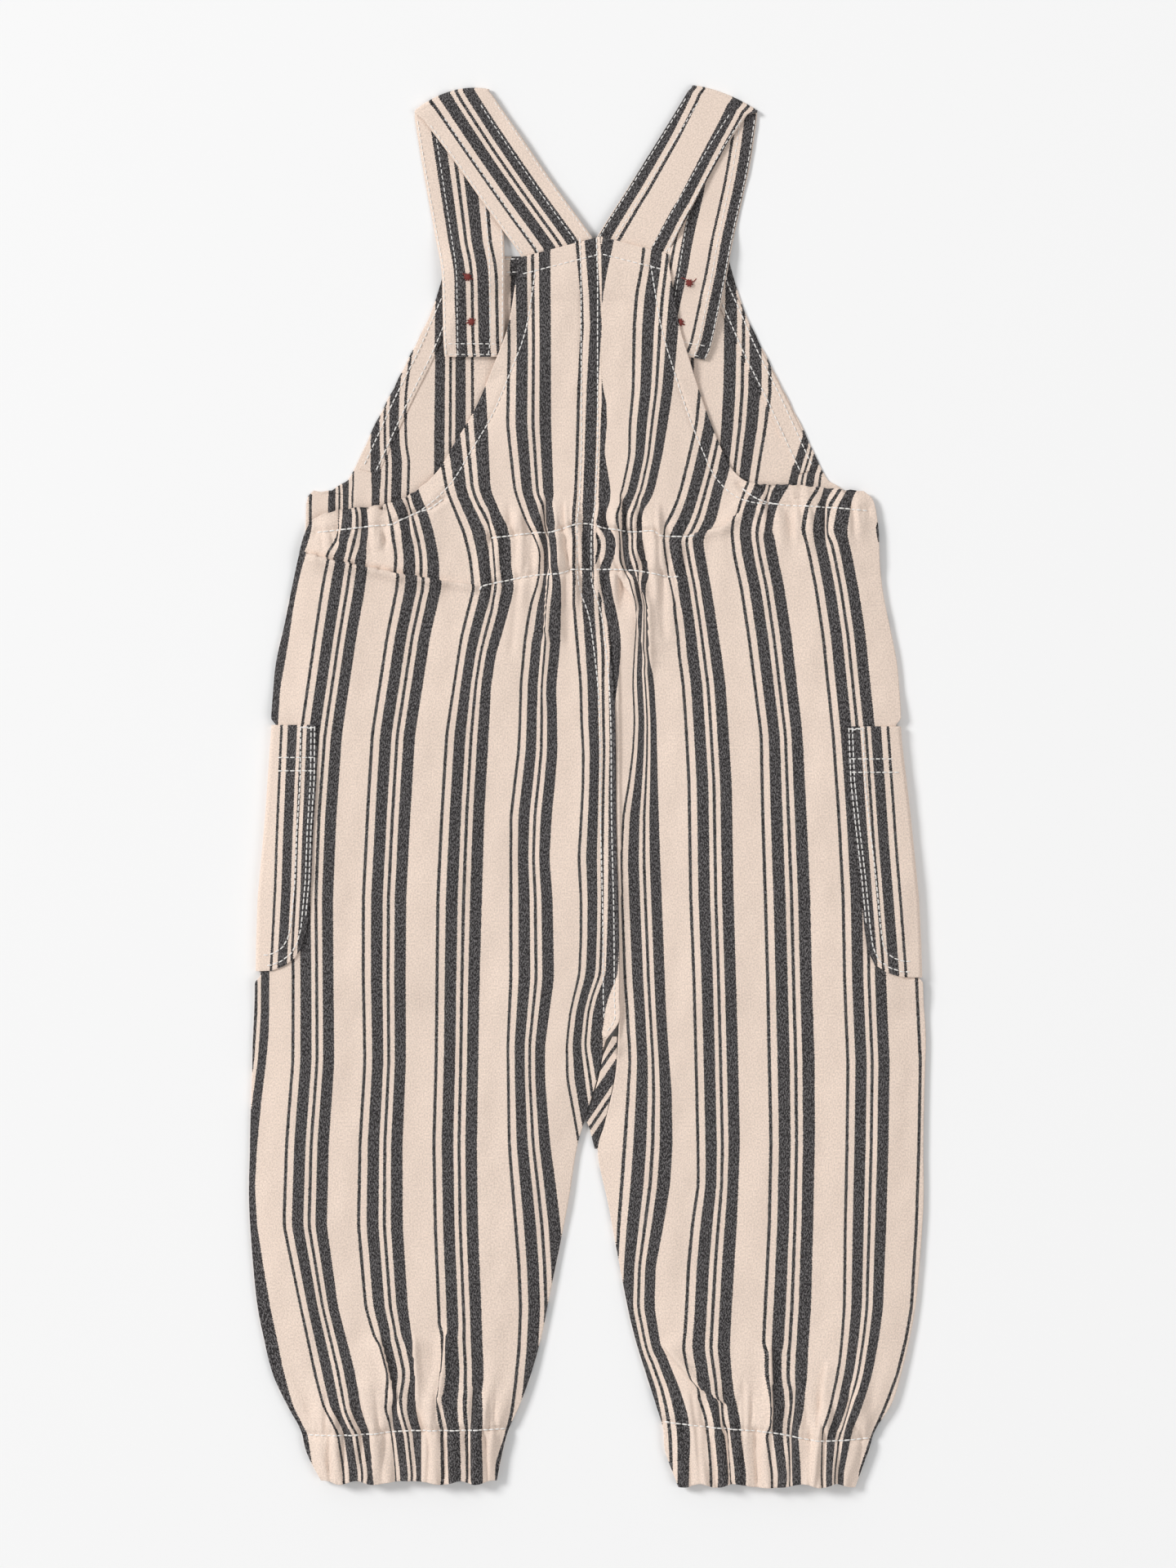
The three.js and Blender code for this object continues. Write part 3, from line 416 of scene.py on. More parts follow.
# %% Pleats and pinches of the back, charted
PLEAT = "x1 y1 x2 y2 hide sharp reach height lip"
PLEATS = table(PLEAT, [
    # waist, above the first row
    (-46, 129, -46, 119, 2.0, 0.8, 5, 0.6, 0), (-19.5, 133, -20.5, 119, 5.0, 0.9, 6, 0.9, 0),
    (-11, 131, -10.5, 119, 2.5, 0.8, 5, 0.6, 1), (-1.5, 127, -1.5, 119, 1.5, 0.7, 4, 0.4, 0),
    (8, 130, 8.5, 119, 2.0, 0.7, 4, 0.5, 0), (15.5, 134, 16, 119, 4.0, 0.8, 6, 0.8, -1),
    (25, 132, 25.5, 119, 3.5, 0.8, 5, 0.7, 1), (35, 130, 35.5, 119, 2.0, 0.8, 5, 0.5, 0),
    # between the rows
    (-45, 119, -44, 100, 1.5, 0.8, 5, 0.4, 0), (-18.6, 119, -18.2, 100, 5.6, 0.8, 7, 1.0, 1),
    (-10.5, 108, -9, 99, 2.0, 0.7, 4, 0.6, -1), (8.5, 119, 9, 98, 1.5, 0.6, 4, 0.4, 0),
    (15, 119, 18, 99, 3.5, 0.8, 6, 0.8, 0), (25.5, 119, 29, 98, 4.5, 0.9, 6, 0.8, 1),
    (36, 119, 38, 99, 2.0, 0.8, 5, 0.5, 0),
    # below the second row
    (-44, 99, -46, 84, 1.5, 0.9, 5, 0.4, 0), (-31, 99, -34, 86, 2.0, 0.9, 5, 0.4, 0),
    (-19.5, 99, -20.5, 70, 5.0, 0.9, 7, 0.8, 1), (-10.5, 99, -11, 82, 1.8, 0.6, 4, 0.5, 0),
    (9, 98, 12, 84, 1.5, 0.6, 4, 0.4, 0), (22, 99, 28, 84, 4.5, 0.8, 6, 0.9, 1),
    (28, 84, 29, 56, 5.0, 0.8, 7, 0.8, 1), (37, 98, 42, 84, 1.5, 0.8, 5, 0.4, 0),
    # side casings
    (-117, 131, -117, 112, 4.0, 1.0, 6, 0.7, 1), (-106, 129, -106.5, 110, 3.0, 0.9, 5, 0.6, 0),
    (-95, 132, -95.5, 112, 3.0, 0.9, 5, 0.6, 0), (-84, 134, -84, 116, 2.0, 0.9, 5, 0.4, 0),
    (85, 141, 85, 118, 3.0, 0.9, 5, 0.6, 0), (97, 141, 97.5, 116, 3.5, 0.9, 5, 0.6, 1),
    (111, 140, 112, 116, 4.0, 1.0, 6, 0.7, 0), (124, 138, 125, 118, 2.0, 0.9, 5, 0.5, 0),
    # left leg, above and in the cuff
    (-108, -283, -103, -304, 3.0, 0.9, 6, 0.6, 1), (-97.5, -262, -90.5, -290, 4.5, 0.9, 7, 0.9, -1),
    (-90.5, -290, -92.5, -304, 3.0, 0.9, 6, 0.7, 0), (-82.5, -262, -80.5, -292, 5.0, 1.0, 7, 0.9, 1),
    (-80.5, -292, -77.5, -304, 3.5, 0.9, 6, 0.7, 0), (-66.5, -258, -71, -290, 3.5, 0.9, 7, 0.8, 1),
    (-71, -290, -66, -304, 2.5, 0.8, 6, 0.6, 0), (-53, -284, -55.5, -304, 2.5, 0.8, 6, 0.5, 0),
    (-46, -290, -47, -304, 2.0, 0.8, 5, 0.4, 0), (-118, -296, -113.5, -304, 2.0, 0.8, 5, 0.4, 0),
    (-102.5, -304, -101, -328, 4.0, 0.8, 6, 0.6, 1), (-91.5, -304, -90.5, -328, 2.0, 0.8, 5, 0.4, 0),
    (-77.5, -304, -79, -328, 3.5, 0.8, 6, 0.5, 0), (-67.5, -304, -66, -328, 2.0, 0.8, 5, 0.4, 0),
    (-55.5, -304, -56, -328, 2.5, 0.8, 5, 0.5, 0),
    # right leg, above and in the cuff
    (36.5, -266, 51, -283, 4.0, 0.9, 7, 0.9, 1), (51, -283, 66, -292, 3.0, 0.9, 7, 0.8, 1),
    (49, -288, 51, -304, 2.5, 0.8, 5, 0.5, 0), (61.5, -292, 62, -304, 3.0, 0.8, 6, 0.6, 0),
    (73, -282, 73.5, -304, 2.5, 0.8, 6, 0.5, 0), (86.5, -266, 86, -304, 4.0, 0.9, 7, 0.8, -1),
    (98, -284, 96, -304, 3.0, 0.8, 6, 0.6, 0), (112, -274, 108, -304, 3.0, 0.8, 6, 0.6, 1),
    (124, -288, 120, -304, 2.5, 0.8, 5, 0.5, 0),
    (51, -304, 53, -329, 2.5, 0.8, 5, 0.5, 0), (66, -304, 67, -329, 3.0, 0.8, 6, 0.5, 1),
    (80, -304, 80, -329, 3.0, 0.8, 6, 0.5, 0), (96, -304, 95, -329, 3.0, 0.8, 6, 0.5, 0),
    (110, -304, 108, -329, 2.5, 0.8, 5, 0.5, 0),
    # long soft folds of the hips and legs
    (-21, 70, -22, 38, 1.5, 2.0, 8, 0.3, 0), (14.5, 66, 15.3, -40, 1.2, 1.6, 8, 0.5, -1),
    (15.3, -40, 15, -118, 1.2, 1.4, 8, 0.6, -1), (-33, 92, -36, 62, 1.0, 1.2, 6, 0.4, 0),
    (-8, 92, -9.5, 66, 0.8, 1.0, 5, 0.4, 0), (34, 97, 36, 70, 1.0, 1.2, 6, 0.4, 0),
    (13, 100, 21, 87, 1.5, 0.7, 4, 0.9, 1), (21, 87, 26, 62, 1.5, 0.8, 5, 0.8, 1),
    # the tuck across the left hip, and the crease that ends the right casing
    (-136, 108.8, -119.4, 104.5, 1.6, 0.4, 6, 1.3, -1), (-119.4, 104.5, -89.7, 98.4, 1.6, 0.4, 6, 1.3, -1),
    (-89.7, 98.4, -68.9, 95.3, 1.2, 0.4, 6, 1.1, -1), (-68.9, 95.3, -54, 93.5, 0.8, 0.5, 4, 0.6, -1),
    (-137, 109.3, -119.4, 104.9, 0, 0.5, 4, 1.1, 0), (-119.4, 104.9, -89.7, 98.8, 0, 0.5, 4, 1.1, 0),
    (-89.7, 98.8, -68.9, 95.7, 0, 0.5, 4, 0.8, 0), (47, 116.5, 63.5, 121, 1.4, 0.6, 5, 0.9, 1),
    (63.5, 121, 72, 128, 1.4, 0.6, 5, 0.9, 1), (72, 128, 74.5, 135, 1.0, 0.6, 4, 0.7, 1),
    (6.5, -118, 12.6, -127, 2.0, 0.7, 4, 1.4, 1),
])
print(len(PLEATS["x1"]), "pleats and pinches")


def along_line(x, y, x1, y1, x2, y2):
    """Signed distance across the line (left of its direction is positive) and place along it."""
    dx, dy = x2 - x1, y2 - y1
    long = np.hypot(dx, dy)
    return (dx * (y - y1) - dy * (x - x1)) / long, ((x - x1) * dx + (y - y1) * dy) / long, long


def pleat_parts(x, y, rows=PLEATS, fade=7):
    """Cloth hidden, as a shift of the stripes, and height, as a lip or a valley, of all the rows."""
    shift, height = np.zeros(np.shape(x)), np.zeros(np.shape(x))
    for x1, y1, x2, y2, hide, sharp, reach, high, lip in zip(*rows.values()):
        if y2 > y1:
            x1, y1, x2, y2 = x2, y2, x1, y1
        off, along, long = along_line(x, y, x1, y1, x2, y2)
        keep = ease((along + fade * 0.6) / fade) * ease((long + fade * 0.6 - along) / fade)
        shift += keep * hide / 2 * (np.tanh(off / sharp) - np.tanh(off / reach))
        valley = -0.7 * high * np.exp(-((off / (1.5 * sharp)) ** 2))
        step = 0.5 + 0.5 * np.tanh(off * lip / (0.6 * sharp))
        ridge = high * np.exp(-np.abs(off) / reach) * step
        ridge = ridge - 0.3 * high * (1 - step) * np.exp(-np.abs(off) / 2)
        height += keep * (valley + 0.35 * high * np.exp(-((off / reach) ** 2)) if lip == 0 else ridge)
    return shift, height


# %% [markdown]
# A crease that runs across the leg needs fine rows to be crisp. The rows near it are drawn closer
# to it: a point at distance d, inside a reach w, moves to w(d/w)^2.

# %% Rows drawn to the cross creases


def crowd(x, y, reach=3.2):
    """Move the points near the crosswise pleats toward them, along each pleat's normal."""
    for x1, y1, x2, y2, hide, *_ in zip(*PLEATS.values()):
        if abs(x2 - x1) < abs(y2 - y1) or hide == 0:
            continue
        if y2 > y1:
            x1, y1, x2, y2 = x2, y2, x1, y1
        off, along, long = along_line(x, y, x1, y1, x2, y2)
        keep = ease((along + 3) / 6) * ease((long + 3 - along) / 6) * (np.abs(off) < reach)
        move = keep * (np.sign(off) * reach * (off / reach) ** 2 - off)
        x, y = x - move * (y2 - y1) / long, y + move * (x2 - x1) / long
    return x, y


# %% [markdown]
# The stripes of each half are charted where the eye follows them. A line is one thread of the
# cloth, named by its place in the repeat: 0 is the first thin stripe's left side and 20.8 the last
# wide stripe's right side, and a repeat is added for each further group. Its row gives where that
# thread lies, as x at each height, so the stripes lean, crowd and open as the cloth is gathered.

# %% Chart of the back's threads, in mm
OUTER = {
    "left": table("y a b c", [
        (257, -122, -107, -72.5), (215, -122, -107, -72.5), (169, -122, -106, -73),
        (138, -118.5, -98.5, -67.4), (127, -117.6, -93.6, -63), (119, -118.6, -92.4, -59.7),
        (107.5, -123.2, -91.2, -56.6), (92, -125.9, -90.9, -54.7), (69, -129.4, -95.5, -60.4),
        (23, -135.9, -102.4, -67.4), (-15.5, -139, -104.7, -69.7), (-54, -140.1, -106.6, -71.6),
        (-92.5, -139.6, -106.6, -72), (-131, -139.8, -105.9, -72.4), (-169.5, -142.8, -108.2, -73.5),
        (-208, -144, -109, -72.8), (-246.5, -135.9, -105.5, -71.2), (-277.5, -129.4, -96.3, -70.1),
        (-293, -125.1, -96.6, -72.4), (-306, -118.2, -93.2, -70.1), (-324, -115.5, -90.9, -69.7),
    ]),
    "right": table("y a b c", [
        (257, 90, 125, 160), (215, 89, 124, 159), (169, 84, 118, 153), (146, 76, 110, 145),
        (131, 70, 102, 137), (119, 66.6, 100.5, 135), (107.5, 67.8, 103.2, 138), (92, 71.2, 106.3, 141),
        (69, 74.7, 109.7, 144.5), (23, 80.5, 114.3, 149), (-15.5, 81.2, 117, 151.8),
        (-54, 82.4, 119, 153.6), (-92.5, 83.5, 119.7, 153.6), (-131, 84.3, 121.3, 155.5),
        (-169.5, 85.1, 120.9, 154.8), (-208, 84.3, 120.1, 153.6), (-246.5, 82.4, 119.7, 151.3),
        (-262, 81.6, 118.6, 148.6), (-277.5, 81.6, 117, 144.8), (-293, 84.3, 113.6, 139),
        (-306, 83.5, 109.7, 133.2), (-324, 85.9, 109.7, 127),
    ]),
}
INNER = {
    "left": [
        (-21.6, [(257, -140), (138, -137), (119, -138), (96, -143), (84, -145), (69, -147),
            (54, -149.5), (34, -151.5), (-88, -155.5), (-108, -155.7), (-131, -157.3), (-150, -160),
            (-170, -162), (-189, -163), (-208, -163), (-227, -161.5), (-247, -159), (-277, -154),
            (-324, -140)]),
        (-14, [(257, -132), (138, -129), (119, -130.3), (96, -136.3), (84, -138.7), (69, -140.8),
            (54, -143.4), (46, -144.9), (34, -145.7), (-88, -150.1), (-108, -150.2), (-120, -150.6),
            (-131, -151.7), (-150, -154), (-170, -155.9), (-189, -157), (-208, -155.9), (-227, -153),
            (-247, -149.6), (-277, -143.4), (-293, -139.1), (-306, -132.2), (-324, -129.5)]),
        (2 * REPEAT + 20.8, [(257, -51.5), (138, -46), (127, -41), (121, -38), (115, -36.6),
            (100, -36.2), (94, -35.4), (84, -37), (73, -40), (61, -43.5), (46, -45.8), (30, -46.6),
            (-15, -49), (-92, -51.2), (-170, -52.5), (-208, -52), (-247, -50.5), (-277, -49.3),
            (-306, -50), (-324, -49.5)]),
        (3 * REPEAT, [(257, -39), (206, -38.1), (169, -38.9), (138, -35.4), (127, -31.5), (121, -28.9),
            (115, -25.8), (109, -23.6), (100, -24.2), (94, -25), (84, -28.1), (73, -30), (61, -31.2),
            (46, -32.6), (30, -32.8), (15, -33.6), (0, -35.4), (-15, -37.2), (-92, -37.3),
            (-123, -38.6), (-170, -38), (-189, -36.6), (-208, -35), (-228, -33.5), (-247, -32.7),
            (-266, -33.5), (-285, -35.4), (-297, -37), (-308, -40), (-320, -44)]),
        (3 * REPEAT + 20.8, [(257, -18), (206, -17.7), (169, -17.6), (138, -16.5), (127, -15.8),
            (121, -15.3), (115, -14.2), (104, -14.1), (94, -12.8), (73, -12.7), (61, -13.5), (46, -15),
            (15, -14.6), (0, -15.8), (-15, -17.3), (-35, -18.4), (-54, -16.9), (-92, -16.2),
            (-108, -18.4), (-123, -20.4), (-139, -20.4), (-154, -19.3), (-170, -18), (-189, -15.4),
            (-208, -13.2), (-228, -12), (-247, -11.5), (-285, -14), (-320, -20)]),
        (4 * REPEAT, [(257, -6.5), (242, -5), (230, -4), (215, -3.7), (200, -4.6), (185, -5.4),
            (154, -6.2), (138, -6.9), (121, -7.7), (104, -7.3), (84, -7.4), (73, -6.5), (61, -5.7),
            (46, -4.3), (30, -4), (15, -3.1), (0, -3.2), (-15, -4), (-35, -5.3), (-54, -4.2),
            (-73, -4.2), (-90, -5), (-100, -7.3), (-108, -9.2), (-123, -10.8), (-139, -10.7),
            (-154, -7.8), (-170, -5), (-208, 0), (-320, 4)]),
        (4 * REPEAT + 15.4, [(257, 9), (215, 11.7), (169, 9.2), (115, 7.8), (84, 8.2), (61, 9.6),
            (46, 9.2), (15, 9.6), (0, 9.2), (-54, 8.9), (-73, 8.4), (-90, 7.8), (-100, 3.8),
            (-108, 1.9), (-123, 0.5), (-139, 3.4), (-154, 5), (-208, 12), (-320, 16)]),
    ],
    "right": [
        (-14, [(257, 12.5), (246, 10), (235, 7.7), (222, 6.1), (200, 6.2), (187, 6.6), (180, 8.6),
            (169, 8.9), (156, 7.6), (148, 9), (138, 10.8), (131, 10), (127, 8.1), (121, 9.2),
            (115, 13.4), (109, 13.1), (104, 11.5), (100, 9.8), (94, 10.8), (84, 12.7), (73, 14.8),
            (64, 15.7), (56, 14.9), (46, 13.4), (38, 12.4), (20, 9), (-15, 5), (-120, 4), (-324, 0)]),
        (0, [(257, 26), (242, 24.3), (230, 21.9), (215, 20.8), (185, 20.4), (169, 18.9), (154, 18.8),
            (138, 15.4), (127, 11.9), (121, 12.3), (117, 14.1), (103, 13.6), (99, 17.4), (94, 19.4),
            (84, 22.6), (73, 21.9), (61, 21.2), (46, 20.8), (30, 21.6), (15, 20.8), (0, 18.9),
            (-15, 16.2), (-35, 15), (-54, 15.4), (-73, 16.2), (-92, 16.9), (-108, 18.1), (-131, 18.9),
            (-154, 17.4), (-170, 16.2), (-208, 13.5), (-247, 12), (-285, 22), (-324, 27)]),
        (20.8, [(257, 46), (215, 42.4), (200, 41.2), (185, 39.7), (169, 37.3), (154, 34.7), (138, 31.2),
            (127, 26.3), (121, 25.7), (115, 25), (109, 25.4), (104, 28.4), (97, 28.7), (94, 27.4),
            (84, 28.1), (61, 28.9), (46, 31.1), (30, 32), (0, 32.7), (-35, 33.8), (-73, 35.3),
            (-108, 36.6), (-123, 37.6), (-146, 39.3), (-170, 39.7), (-189, 38.5), (-208, 35.4),
            (-227, 31.7), (-247, 31.2), (-266, 34.3), (-285, 43), (-297, 46.6), (-308, 47.7),
            (-324, 47.2)]),
        (REPEAT, [(257, 57), (215, 54.5), (169, 50.1), (154, 46.6), (138, 42.7), (127, 38.9),
            (121, 35.8), (115, 34.2), (104, 35.9), (94, 38.4), (84, 39.7), (73, 41.2), (61, 42),
            (46, 43.9), (30, 45), (0, 46.6), (-54, 47.4), (-92, 48.9), (-123, 49.7), (-170, 50.8),
            (-189, 51), (-208, 48.1), (-227, 46.3), (-247, 45.4), (-266, 44.2), (-285, 50),
            (-297, 54.2), (-308, 56), (-324, 57.2)]),
        (REPEAT + 20.8, [(257, 78), (169, 71), (146, 66), (138, 63.5), (127, 61), (121, 58.8),
            (118, 56), (115, 53.8), (109, 54.7), (100, 56.2), (94, 57.4), (84, 59), (73, 60.7),
            (61, 62.6), (46, 64.6), (0, 67.4), (-54, 68.3), (-123, 70.3), (-170, 71.3), (-208, 69.8),
            (-247, 67.4), (-266, 66.5), (-285, 68), (-308, 72), (-324, 74)]),
    ],
}


def stripe_u(side, x, y):
    """The thread that lies at each point: even between the two charted threads beside it."""
    heights = np.arange(-340, 270, 1.0)
    kernel = np.exp(-((np.arange(-9, 10) / 3.2) ** 2))
    kernel /= kernel.sum()
    outer = OUTER[side]
    first = 0 if side == "left" else 2
    chart = [((first + k) * REPEAT, list(zip(outer["y"], outer[name]))) for k, name in enumerate("abc")]
    chart = sorted(chart + INNER[side], key=lambda line: line[0])
    threads = np.array([thread for thread, _ in chart])
    lines = []
    for _, rows in chart:
        rows = np.array(rows, float)[::-1]
        fine = np.interp(heights, rows[:, 0], rows[:, 1])
        smooth = np.convolve(np.pad(fine, 9, mode="edge"), kernel, mode="valid")
        lines.append(np.interp(y, heights, smooth))
    lines = np.maximum.accumulate(np.array(lines) + 0.02 * np.arange(len(lines))[:, None, None], axis=0)
    u = threads[0] + x - lines[0]
    for k in range(len(lines) - 1):
        part = (x - lines[k]) / np.maximum(lines[k + 1] - lines[k], 0.3)
        u = np.where(x > lines[k], threads[k] + np.minimum(part, 1) * (threads[k + 1] - threads[k]), u)
    return np.where(x > lines[-1], threads[-1] + x - lines[-1], u)


# %% [markdown]
# A piece of cloth is a grid of points in three dimensions with a cloth coordinate at each one.
# Its border is turned under in a small roll, because every edge of this garment is hemmed or
# seamed, and a raw paper edge would show.

# %% From a grid to a mesh


def rolled(grid, sides, radius=0.42, tuck=1.3, drop=0.5):
    """The grid with a half-round roll and a short sloping tuck at each named border, above the floor."""
    angles = np.radians([35, 70, 110, 150, 180])
    for side in sides:
        g = {"left": grid, "right": grid[:, ::-1], "top": grid.transpose(1, 0, 2),
             "bottom": grid[::-1].transpose(1, 0, 2)}[side]
        edge, inner = g[:, 0], g[:, 1]
        out = edge[:, :2] - inner[:, :2]
        out /= np.maximum(np.linalg.norm(out, axis=1, keepdims=True), 1e-9)
        extra = []
        for a in angles:
            row = edge.copy()
            row[:, :2] += out * radius * np.sin(a)
            row[:, 2] -= radius * (1 - np.cos(a))
            extra.append(row)
        last = extra[-1].copy()
        last[:, :2] -= out * tuck
        last[:, 2] -= drop
        extra.append(last)
        extra = np.array(extra)[::-1].transpose(1, 0, 2)
        g = np.concatenate([extra, g], axis=1)
        grid = {"left": g, "right": g[:, ::-1], "top": g.transpose(1, 0, 2),
                "bottom": g.transpose(1, 0, 2)[::-1]}[side]
    grid[..., 2] = np.maximum(grid[..., 2], 0.06)
    return grid


def mesh_piece(name, points, faces):
    """A smooth mesh object from points in mm and quads of their numbers."""
    mesh = bpy.data.meshes.new(name)
    mesh.from_pydata((points * MM).tolist(), [], faces.tolist())
    mesh.polygons.foreach_set("use_smooth", np.ones(len(faces), dtype=bool))
    mesh.update()
    piece = bpy.data.objects.new(name, mesh)
    bpy.context.scene.collection.objects.link(piece)
    return piece


def grid_mesh(name, grid, closed=False):
    """A mesh of quads over a grid whose last axis is x, y, z, u, v in mm; closed joins its columns."""
    rows, columns = grid.shape[:2]
    index = np.arange(rows * columns).reshape(rows, columns)
    if closed:
        index = np.concatenate([index, index[:, :1]], axis=1)
    quads = np.stack([index[:-1, :-1], index[1:, :-1], index[1:, 1:], index[:-1, 1:]], -1).reshape(-1, 4)
    points = grid.reshape(-1, grid.shape[2])
    a, b, c = (points[quads[:, k], :3] for k in (0, 1, 2))
    if np.cross(b - a, c - a)[:, 2].sum() < 0 and not closed:
        quads = quads[:, ::-1]
    piece = mesh_piece(name, points[:, :3], quads)
    mesh = piece.data
    layer = mesh.uv_layers.new(name="cloth")
    loops = np.empty(len(mesh.loops), dtype=np.int32)
    mesh.loops.foreach_get("vertex_index", loops)
    layer.data.foreach_set("uv", (points[loops, 3:5] * MM).astype(np.float32).ravel())
    mesh.update()
    area = float(sum(p.area for p in mesh.polygons))
    print(f"{name}: {len(quads)} quads, {area * 1e4:.0f} square cm")
    return piece


# %% [markdown]
# The cloth's finish reads the cloth coordinate. A ramp with hard steps gives the stripes, a fine
# saw along the weft gives them their stepped edges, and the charcoal is a melange: light flecks
# on the twill's two diagonals over a dark ground. The bump is the same weave.

# %% Cloth materials


def linear(rgb):
    """A colour given as 0 to 255 in sRGB, as linear numbers."""
    c = np.array(rgb, float) / 255
    return tuple(np.where(c <= 0.04045, c / 12.92, ((c + 0.055) / 1.055) ** 2.4)) + (1.0,)


def node(tree, kind, inputs=None, **settings):
    """A new node, with each input set to a value or linked to another node's output."""
    made = tree.nodes.new(kind)
    for key, value in settings.items():
        setattr(made, key, value)
    for socket, value in (inputs or {}).items():
        if isinstance(value, bpy.types.NodeSocket):
            tree.links.new(value, made.inputs[socket])
        else:
            made.inputs[socket].default_value = value
    return made


def maths(tree, operation, *values):
    """A sum or other operation on values or outputs."""
    made = node(tree, "ShaderNodeMath", operation=operation)
    for k, value in enumerate(values):
        if isinstance(value, bpy.types.NodeSocket):
            tree.links.new(value, made.inputs[k])
        else:
            made.inputs[k].default_value = value
    return made.outputs[0]


def mixed(tree, factor, first, second, blend="MIX"):
    """Two colours mixed by a factor."""
    made = node(tree, "ShaderNodeMix", data_type="RGBA", blend_type=blend)
    for socket, value in ((0, factor), (6, first), (7, second)):
        if isinstance(value, bpy.types.NodeSocket):
            tree.links.new(value, made.inputs[socket])
        else:
            made.inputs[socket].default_value = value
    return made.outputs[2]


# %% [markdown]
# The stripes are yarns of the warp, so their edges step in and out by a thread. The same mask is
# made twice, for all stripes and for the thin ones alone, because the thin ones are darker.

# %% Stripes


def stripe_mask(tree, u, v):
    """1 on a stripe, 0 on cream, from a stepped ramp over one repeat, and the same for thin lines."""
    saw = maths(tree, "PINGPONG", maths(tree, "MULTIPLY", v, 1 / (0.55 * MM)), 1.0)
    uneven = node(tree, "ShaderNodeTexNoise", {"Scale": 900.0, "Detail": 1.0}, noise_dimensions="2D")
    tree.links.new(node(tree, "ShaderNodeUVMap", uv_map="cloth").outputs[0], uneven.inputs["Vector"])
    wobble = maths(tree, "ADD", maths(tree, "MULTIPLY", saw, 0.30 * MM),
                   maths(tree, "MULTIPLY", uneven.outputs["Fac"], 0.5 * MM))
    place = maths(tree, "ADD", u, maths(tree, "SUBTRACT", wobble, 0.4 * MM))
    part = maths(tree, "WRAP", maths(tree, "MULTIPLY", place, 1 / (REPEAT * MM)), 1.0, 0.0)
    ramps = []
    for names in (STRIPES, ("thin_a", "thin_c")):
        ramp = node(tree, "ShaderNodeValToRGB", {"Fac": part})
        ramp.color_ramp.interpolation = "CONSTANT"
        stops = [(0.0, 0.0)]
        for name in names:
            low, high = STRIPES[name]
            stops += [(max(low, 0.02) / REPEAT, 1.0), (high / REPEAT, 0.0)]
        while len(ramp.color_ramp.elements) > 1:
            ramp.color_ramp.elements.remove(ramp.color_ramp.elements[-1])
        ramp.color_ramp.elements[0].position = 0.0
        ramp.color_ramp.elements[0].color = (0, 0, 0, 1)
        for position, value in stops[1:]:
            element = ramp.color_ramp.elements.new(position)
            element.color = (value, value, value, 1)
        ramps.append(ramp.outputs[0])
    return ramps


# %% [markdown]
# One finish serves all the cloth. Its cream has a fine grain of threads, and its charcoal is spun
# from dark and light fibre, which shows as flecks. A copy made a little darker is painted shade on
# the layers that lie under the back.

# %% Finish of the cloth
CREAM, CHARCOAL, THIN, FLECK = (237, 217, 202), (34, 31, 32), (20, 18, 19), (142, 138, 138)


